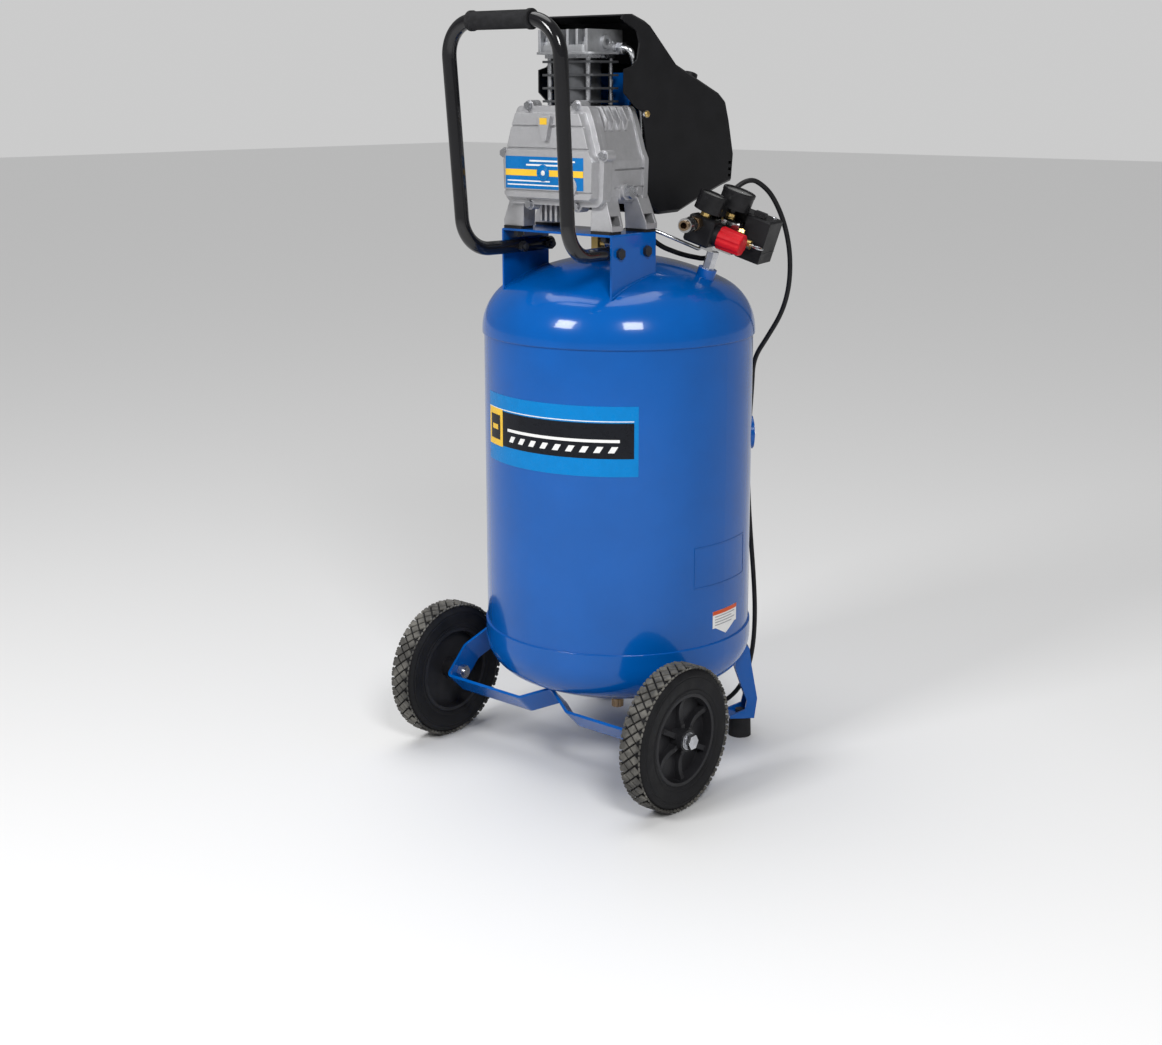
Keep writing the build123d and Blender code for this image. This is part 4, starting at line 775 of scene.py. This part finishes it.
class FittingOperator(bpy.types.Operator):
    """Add union nuts, glands, plugs and collars to the lines and the manifold"""

    bl_idname = "compressor.fittings"
    bl_label = "Fittings"

    def execute(self, context):
        steel, brass, black = [], [], []
        steel.append(nut(0.0150, 0.0100, 0.0046, "head_union", HEAD_PORT, (1, 0, 0)))
        steel.append(nut(0.0150, 0.0100, 0.0046, "valve_union", VALVE_PORT, (1, 0, 0)))
        brass.append(nut(0.0090, 0.0075, 0.0026, "unloader_nut", UNLOADER_PORT, (0, 1, 0)))
        brass.append(nut(0.0090, 0.0070, 0.0026, "switch_nut", on_manifold(-30, 31, 2),
                         manifold_way(0, 0, -1), manifold_way(1, 0, 0)))
        black.append(nut(0.0135, 0.0070, 0.0036, "cable_gland", on_manifold(-14, 42, 2),
                         manifold_way(0, 0, -1), manifold_way(1, 0, 0)))
        brass += self.manifold_nuts()
        black.append(knurled(0.0140, 0.0035, 30, "knob_lock_ring", on_manifold(11.2, -22, 26),
                             manifold_way(1, 0, 0), manifold_way(0, 0, 1)))
        steel.append(knurled(0.0060, 0.0030, 16, "nipple_thread", on_manifold(0, 0, -27.5),
                             manifold_way(0, 0, 1), manifold_way(1, 0, 0)))
        for pieces, tone, slot in ((steel, "zinc", "zinc_steel"), (brass, "brass", "brass"),
                                   (black, "gauge case", "gauge_black")):
            for piece in pieces:
                dress(piece, material(tone))
            ride_all(pieces, "frame")
        return {"FINISHED"}

    def manifold_nuts(self):
        """Brass hexes under the gauges, on the safety valve and at the manifold's end."""
        pieces = []
        for x, y, z, lean in ((-17, -27, 46.3, (0.08, 0.05, 1)), (4, 12, 50.3, (0.05, 0.02, 1))):
            pieces.append(nut(0.0125, 0.0055, 0.0035, "gauge_nut", on_manifold(x, y, z),
                              manifold_way(*lean), manifold_way(1, 0, 0)))
        pieces.append(nut(0.0100, 0.0040, 0.0020, "side_plug", on_manifold(26, 16, 36),
                          manifold_way(1, 0, 0), manifold_way(0, 0, 1)))
        pieces.append(nut(0.0100, 0.0045, 0.0020, "end_plug", on_manifold(-14, 2, 22),
                          manifold_way(-1, 0, 0), manifold_way(0, 0, 1)))
        return pieces


# ------------------------------------------------------------------ labels
def cover_sheet(name, columns, rows, mapped):
    """A flat grid whose corners a function puts in place."""
    bpy.ops.mesh.primitive_grid_add(x_subdivisions=columns, y_subdivisions=rows, size=2)
    piece = named(name)
    for vertex in piece.data.vertices:
        u, v = (vertex.co.x + 1) / 2, (vertex.co.y + 1) / 2
        vertex.co = mapped(u, v)
    return piece


def thickened(piece, thickness):
    """Give a sheet thickness on its outer side."""
    modified(piece, "SOLIDIFY", thickness=thickness, offset=1)
    outward(piece)
    return piece


def on_tank(angle, z, lift=0.0):
    """A point of the tank's shell: angle from +X and height."""
    r = TANK_R + lift
    return (r * cos(radians(angle)), TANK_Y + r * sin(radians(angle)), z)


class LabelOperator(bpy.types.Operator):
    """Add the printed labels, without any lettering, to the tank and the pump's cover"""

    bl_idname = "compressor.labels"
    bl_label = "Labels"

    def execute(self, context):
        settings = context.scene.compressor_labels
        self.thick = settings.thickness
        self.pieces = []
        self.front_label()
        self.cover_label()
        self.plate()
        if settings.show_warning:
            self.warning()
        ride_all(self.pieces, "frame")
        return {"FINISHED"}

    def wrap(self, name, angles, heights, finish_name, level=0, slant=0.0):
        """A patch on the tank between two angles and two heights, some layers up."""
        lift = 0.00005 + level * self.thick
        span = angles[1] - angles[0]

        def mapped(u, v):
            z = heights[0] + v * (heights[1] - heights[0])
            return on_tank(angles[0] + u * span + slant * v, z, lift)

        piece = cover_sheet(name, max(1, ceil(abs(span) / 1.5)), 1, mapped)
        thickened(piece, self.thick)
        smooth(piece, 30)
        self.pieces.append(dress(piece, material(finish_name)))
        return piece

    def flat(self, name, x, z, y, finish_name, level=0):
        """A patch on the pump's cover between two x and two heights."""
        front = y - 0.00005 - level * self.thick

        def mapped(u, v):
            return (x[0] + u * (x[1] - x[0]), front, z[0] + v * (z[1] - z[0]))

        piece = thickened(cover_sheet(name, 1, 1, mapped), self.thick)
        self.pieces.append(dress(piece, material(finish_name)))

    def front_label(self):
        """The wide band across the tank's front: plain colours and stripes."""
        for name, angles, heights, tone, level in (
            ("band_field", (-120, -42.5), (0.443, 0.538), "light blue print", 0),
            ("band", (-119.4, -44.3), (0.4675, 0.5155), "black print", 1),
            ("badge", (-119.4, -106.8), (0.4655, 0.5175), "yellow print", 2),
            ("badge_panel", (-117.4, -108.8), (0.4745, 0.5085), "black print", 3),
            ("badge_bar", (-115.6, -110.6), (0.4880, 0.4950), "yellow print", 4),
            ("long_stripe", (-103.0, -50.0), (0.4895, 0.4935), "white print", 2),
        ):
            self.wrap(name, angles, heights, tone, level)
        for k in range(9):
            start = -102.0 + k * 5.9
            self.wrap("slanted_bar", (start, start + 2.6), (0.4755, 0.4840), "white print", 2, 1.6)
        self.wrap("upper_line", (-119.4, -44.3), (0.5172, 0.5184), "white print", 1)

    def cover_label(self):
        """The sticker on the pump's cover: a stripe with a ring in its middle."""
        face = -0.1240
        self.flat("cover_sticker", (-0.0735, 0.0640), (0.8165, 0.8590), face, "sticker blue")
        self.flat("cover_stripe", (-0.0735, 0.0640), (0.8335, 0.8420), face, "yellow print", 1)
        for k, (start, end) in enumerate(((-0.030, 0.050), (-0.036, 0.044))):
            z = 0.8535 - k * 0.0055
            self.flat("cover_line", (start, end), (z - 0.0011, z + 0.0011), face, "white print", 1)
        for k, end in enumerate((0.006, 0.024)):
            z = 0.8268 - k * 0.0052
            self.flat("cover_line", (-0.070, end), (z - 0.0008, z + 0.0008), face, "white print", 1)
        for outer, inner, tone in ((0.0112, 0.0, "sticker blue"), (0.0096, 0.0084, "light blue print"),
                                   (0.0034, 0.0, "white print")):
            layer = 0.0003 + 0.0002 * (outer < 0.0100)
            ring = [(inner, 0.0), (outer, 0.0), (outer, layer), (inner, layer)]
            ring += [(inner, 0.0)] if inner else []
            wheel = lathe(ring, 48, "cover_ring", (0, -1, 0), (-0.006, face - 0.0003, 0.8378), (1, 0, 0))
            self.pieces.append(dress(wheel, material(tone)))
        self.flat("wedge_sticker", (-0.0062, 0.0062), (0.9010, 0.9095), -0.1300, "yellow print")

    def plate(self):
        """A raised outline on the tank's side where the data plate is pressed in."""
        edge = 0.5
        for name, angles, heights in (
            ("plate_top", (-17.5, 17.5), (0.3352, 0.3368)), ("plate_foot", (-17.5, 17.5), (0.2782, 0.2798)),
            ("plate_left", (-17.5, -17.5 + edge), (0.2790, 0.3360)),
            ("plate_right", (17.5 - edge, 17.5), (0.2790, 0.3360)),
        ):
            self.wrap(name, angles, heights, "enamel", 1)

    def warning(self):
        """White label with an orange head, grey lines and an arrow below."""
        self.wrap("warning_field", (-7.0, 10.4), (0.2155, 0.2400), "white print")
        self.wrap("warning_head", (-7.0, 10.4), (0.2345, 0.2400), "orange print", 1)
        for k in range(4):
            z = 0.2315 - k * 0.0040
            self.wrap("warning_line", (-5.6, 8.6 - 2.5 * (k % 2)), (z - 0.0006, z + 0.0006), "grey print", 1)

        def arrow(u, v):
            return on_tank(1.7 + (u - 0.5) * 14.0 * v, 0.2035 + 0.0121 * v, 0.00005)

        piece = thickened(cover_sheet("warning_arrow", 8, 6, arrow), self.thick)
        self.pieces.append(dress(piece, material("white print")))


# ------------------------------------------------------------------ welds and trim
def dome_height(radius):
    """Height of the tank's upper head at a distance from its axis."""
    outer, rise, knuckle, base = 0.1925, 0.104, 0.076, 0.617
    crown = ((outer - knuckle) ** 2 + rise**2 - knuckle**2) / (2 * (rise - knuckle))
    return base + rise - crown + sqrt(crown**2 - radius**2)


class WeldOperator(bpy.types.Operator):
    """Run weld beads round the tank's seams and along the saddle's cheeks"""

    bl_idname = "compressor.welds"
    bl_label = "Weld beads"

    def execute(self, context):
        beads = []
        for z, name in ((0.6132, "upper_seam"), (0.1938, "lower_seam")):
            ring = [self.ripple(on_tank(a * 2, z, 0.0004), a) for a in range(180)]
            beads.append(tube(ring, 0.0012, name, closed=True, spline="NURBS"))
        for side in (1, -1):
            for x in (0.0982, 0.0948):
                line = []
                for k in range(24):
                    y = TANK_Y - 0.133 + k * 0.091 / 23
                    r = sqrt(x * x + (y - TANK_Y) ** 2)
                    line.append(self.ripple((side * x, y, dome_height(r)), k))
                beads.append(tube(line, 0.0016, "saddle_weld", spline="NURBS"))
        for piece in beads:
            dress(piece, material("enamel"))
        ride_all(beads, "frame")
        return {"FINISHED"}

    def ripple(self, spot, k):
        """A point moved up and down a little along the bead."""
        return (spot[0], spot[1], spot[2] + 0.0002 * (-1) ** k)


class TrimOperator(bpy.types.Operator):
    """Add the sight glass, screws, the switch's parting line and the axle washers"""

    bl_idname = "compressor.trim"
    bl_label = "Small trim"

    def execute(self, context):
        self.sight_glass()
        self.switch_details()
        self.shroud_screws()
        self.axle_washers()
        return {"FINISHED"}

    def sight_glass(self):
        """A bright bezel round a domed glass with a red spot behind it."""
        middle = Vector((0.038, -0.1258, 0.821))
        face = (0, -1, 0)
        bezel = lathe([(0.0080, 0.0), (0.0120, 0.0), (0.0120, 0.0032), (0.0112, 0.0040), (0.0088, 0.0040),
                       (0.0080, 0.0030), (0.0080, 0.0)], 48, "sight_bezel", face,
                      middle + Vector((0, 0.0038, 0)), (1, 0, 0))
        smooth(bezel, 35)
        glass = lathe([(0.0, 0.0), (0.0080, 0.0), (0.0076, 0.0012), (0.0050, 0.0022), (0.0, 0.0027)], 48,
                      "sight_lens", face, middle + Vector((0, 0.0028, 0)), (1, 0, 0))
        smooth(glass, 50)
        back = lathe([(0.0, 0.0), (0.0080, 0.0), (0.0080, 0.0008), (0.0, 0.0008)], 40, "sight_back", face,
                     middle + Vector((0, 0.0040, 0)), (1, 0, 0))
        spot = lathe([(0.0, 0.0), (0.0030, 0.0), (0.0030, 0.0003), (0.0, 0.0003)], 32, "sight_spot", face,
                     middle + Vector((0, 0.0031, 0)), (1, 0, 0))
        pieces = [bezel, glass, back, spot]
        for piece, tone in zip(pieces, ("zinc", "glass", "bronze", "red needle")):
            dress(piece, material(tone))
        ride_all(pieces, "frame")
        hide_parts("sight_glass")

    def screw(self, name, radius, origin, direction, across):
        """A pan-head screw with a cross recess."""
        shape = ((0.0, 0.0), (1.0, 0.0), (0.97, 0.32), (0.7, 0.58), (0.0, 0.68))
        head = lathe([(radius * r, radius * z) for r, z in shape], 32, name, (0, 0, 1), (0, 0, 0))
        smooth(head, 40)
        for turn in (0, 90):
            bpy.ops.mesh.primitive_cube_add(size=1, location=(0, 0, radius * 0.62),
                                            rotation=(0, 0, radians(turn)))
            slot_cut = bpy.context.object
            slot_cut.scale = (radius * 1.1, radius * 0.22, radius * 0.45)
            settle(slot_cut)
            cut_by(head, slot_cut)
        return place(head, origin, direction, across)

    def switch_details(self):
        """Two cover screws and the line between the switch's base and its cover."""
        pieces = []
        for x, y in ((-24, 52), (52, 52)):
            screw = self.screw("switch_screw", 0.0034, on_manifold(x, y, 62), manifold_way(0, 0, 1),
                               manifold_way(1, 0, 0))
            pieces.append(dress(screw, material("zinc")))
        ride_all(pieces, "frame")
        corners = [(-34.2, 24.3), (26.8, 24.3), (26.8, 12.3), (62.2, 12.3), (62.2, 62.2), (-34.2, 62.2)]
        line = [on_manifold(x, y, 17) for x, y in corners]
        seam = tube([tuple(p) for p in line], 0.0005, "switch_seam", closed=True, resolution=2)
        ride_all([dress(seam, material("gauge case"))], "frame")

    def shroud_screws(self):
        """Brass screws that hold the shroud to the pump's ears."""
        pieces = []
        for side in (1, -1):
            screw = self.screw("shroud_screw", 0.0046, (side * 0.079, TANK_Y - 0.038, 0.914), (side, 0, 0),
                               (0, 1, 0))
            pieces.append(dress(screw, material("brass")))
        ride_all(pieces, "frame")

    def axle_washers(self):
        """A bright washer under each axle bolt."""
        pieces = []
        for side in (1, -1):
            ring = lathe([(0.0062, 0.0), (0.0118, 0.0), (0.0118, 0.0008), (0.0112, 0.0012), (0.0062, 0.0012),
                          (0.0062, 0.0)], 40, "axle_washer", (side, 0, 0),
                         (side * 0.23605, WHEEL_Y, WHEEL_R), (0, 1, 0))
            smooth(ring, 35)
            pieces.append(dress(ring, material("zinc")))
        ride_all(pieces, "frame")


# ------------------------------------------------------------------ stage
class StageOperator(bpy.types.Operator):
    """Set the pale floor, the studio lights and the camera"""

    bl_idname = "compressor.stage"
    bl_label = "Stage"

    def execute(self, context):
        settings = context.scene.compressor_stage
        self.floor()
        self.surround(context.scene, settings.world)
        aim = Vector((0.0, TANK_Y, 0.62))
        self.softbox("Left key", aim, (-0.13, -0.855, 0.50), 3.0, (0.75, 0.75), settings.key)
        self.softbox("Right key", aim, (0.663, -0.516, 0.542), 3.0, (0.75, 0.75), settings.key)
        self.ceiling(settings.ceiling)
        self.camera(context.scene)
        return {"FINISHED"}

    def floor(self):
        """A wide, flat pale floor."""
        bpy.ops.mesh.primitive_plane_add(size=1)
        floor = named("Floor")
        for vertex in floor.data.vertices:
            vertex.co = (vertex.co.x * 40, vertex.co.y * 40, 0)
        ground = bpy.data.materials.new("Studio floor")
        ground.use_nodes = True
        shader = ground.node_tree.nodes["Principled BSDF"]
        shader.inputs["Base Color"].default_value = (0.70, 0.70, 0.70, 1)
        shader.inputs["Roughness"].default_value = 0.55
        dress(floor, ground)

    def surround(self, scene, strength):
        """A plain pale world."""
        world = bpy.data.worlds.new("Studio")
        scene.world = world
        world.use_nodes = True
        nodes, links = world.node_tree.nodes, world.node_tree.links
        background = nodes["Background"]
        background.inputs["Color"].default_value = (1, 1, 1, 1)
        rays = nodes.new("ShaderNodeLightPath")
        level = nodes.new("ShaderNodeMapRange")
        level.inputs["To Min"].default_value = strength
        level.inputs["To Max"].default_value = 0.60
        links.new(rays.outputs["Is Camera Ray"], level.inputs["Value"])
        links.new(level.outputs["Result"], background.inputs["Strength"])
        scene.view_settings.view_transform = "Standard"

    def softbox(self, name, aim, direction, distance, size, power):
        """A rectangular area light that faces the object."""
        way = Vector(direction).normalized()
        bpy.ops.object.light_add(type="AREA", location=aim + way * distance)
        light = named(name)
        light.rotation_euler = way.to_track_quat("Z", "Y").to_euler()
        light.data.shape = "RECTANGLE"
        light.data.size, light.data.size_y = size
        light.data.energy = power

    def ceiling(self, strength):
        """Broad light from above, the same everywhere on the floor."""
        bpy.ops.object.light_add(type="SUN")
        light = named("Ceiling")
        light.rotation_euler = Vector((-0.25, 0.1, 1)).to_track_quat("Z", "Y").to_euler()
        light.data.energy = strength
        light.data.angle = radians(50)

    def camera(self, scene):
        """The camera of the reference view."""
        bpy.ops.object.camera_add()
        camera = named("Camera")
        right = Vector((0.76398, 0.64524, 0.0))
        up = Vector((-0.13314, 0.15765, 0.97848))
        back = Vector((0.63135, -0.74754, 0.20635))
        turn = Matrix((right, up, back)).transposed().to_4x4()
        camera.matrix_world = Matrix.Translation((1.48773, -1.78633, 0.94806)) @ turn
        camera.data.sensor_width = 36.0
        camera.data.lens = 51.72
        camera.data.shift_x = -0.01205
        camera.data.shift_y = -0.0710
        camera.data.clip_start = 0.05
        camera.data.clip_end = 60.0
        scene.camera = camera


OPERATORS = (StageOperator, FinishOperator, CordOperator, TyreOperator, GripOperator, GaugeOperator,
             FittingOperator, LabelOperator, WeldOperator, TrimOperator)
SETTINGS = {
    "compressor_finish": CompressorFinish,
    "compressor_cord": CompressorCord,
    "compressor_tyres": CompressorTyres,
    "compressor_labels": CompressorLabels,
    "compressor_stage": CompressorStage,
}


class CompressorPanel(bpy.types.Panel):
    """The compressor's settings and the operators that build it"""

    bl_idname = "VIEW3D_PT_compressor"
    bl_label = "Compressor"
    bl_space_type = "VIEW_3D"
    bl_region_type = "UI"
    bl_category = "Compressor"

    def draw(self, context):
        for name, group in SETTINGS.items():
            box = self.layout.box()
            settings = getattr(context.scene, name)
            for field in group.__annotations__:
                box.prop(settings, field)
        for operator in OPERATORS:
            self.layout.operator(operator.bl_idname)


def register():
    for group in SETTINGS.values():
        bpy.utils.register_class(group)
    for name, group in SETTINGS.items():
        setattr(bpy.types.Scene, name, PointerProperty(type=group))
    for operator in OPERATORS:
        bpy.utils.register_class(operator)
    bpy.utils.register_class(CompressorPanel)


def unregister():
    bpy.utils.unregister_class(CompressorPanel)
    for operator in reversed(OPERATORS):
        bpy.utils.unregister_class(operator)
    for name in SETTINGS:
        delattr(bpy.types.Scene, name)
    for group in reversed(list(SETTINGS.values())):
        bpy.utils.unregister_class(group)


def main():
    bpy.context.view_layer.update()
    register()
    ops = bpy.ops.compressor
    for step in (ops.stage, ops.finishes, ops.cord, ops.tyres, ops.grip, ops.gauges, ops.fittings, ops.labels,
                 ops.welds, ops.trim):
        if step() != {"FINISHED"}:
            raise RuntimeError(f"{step} did not finish")


if __name__ == "__main__":
    main()
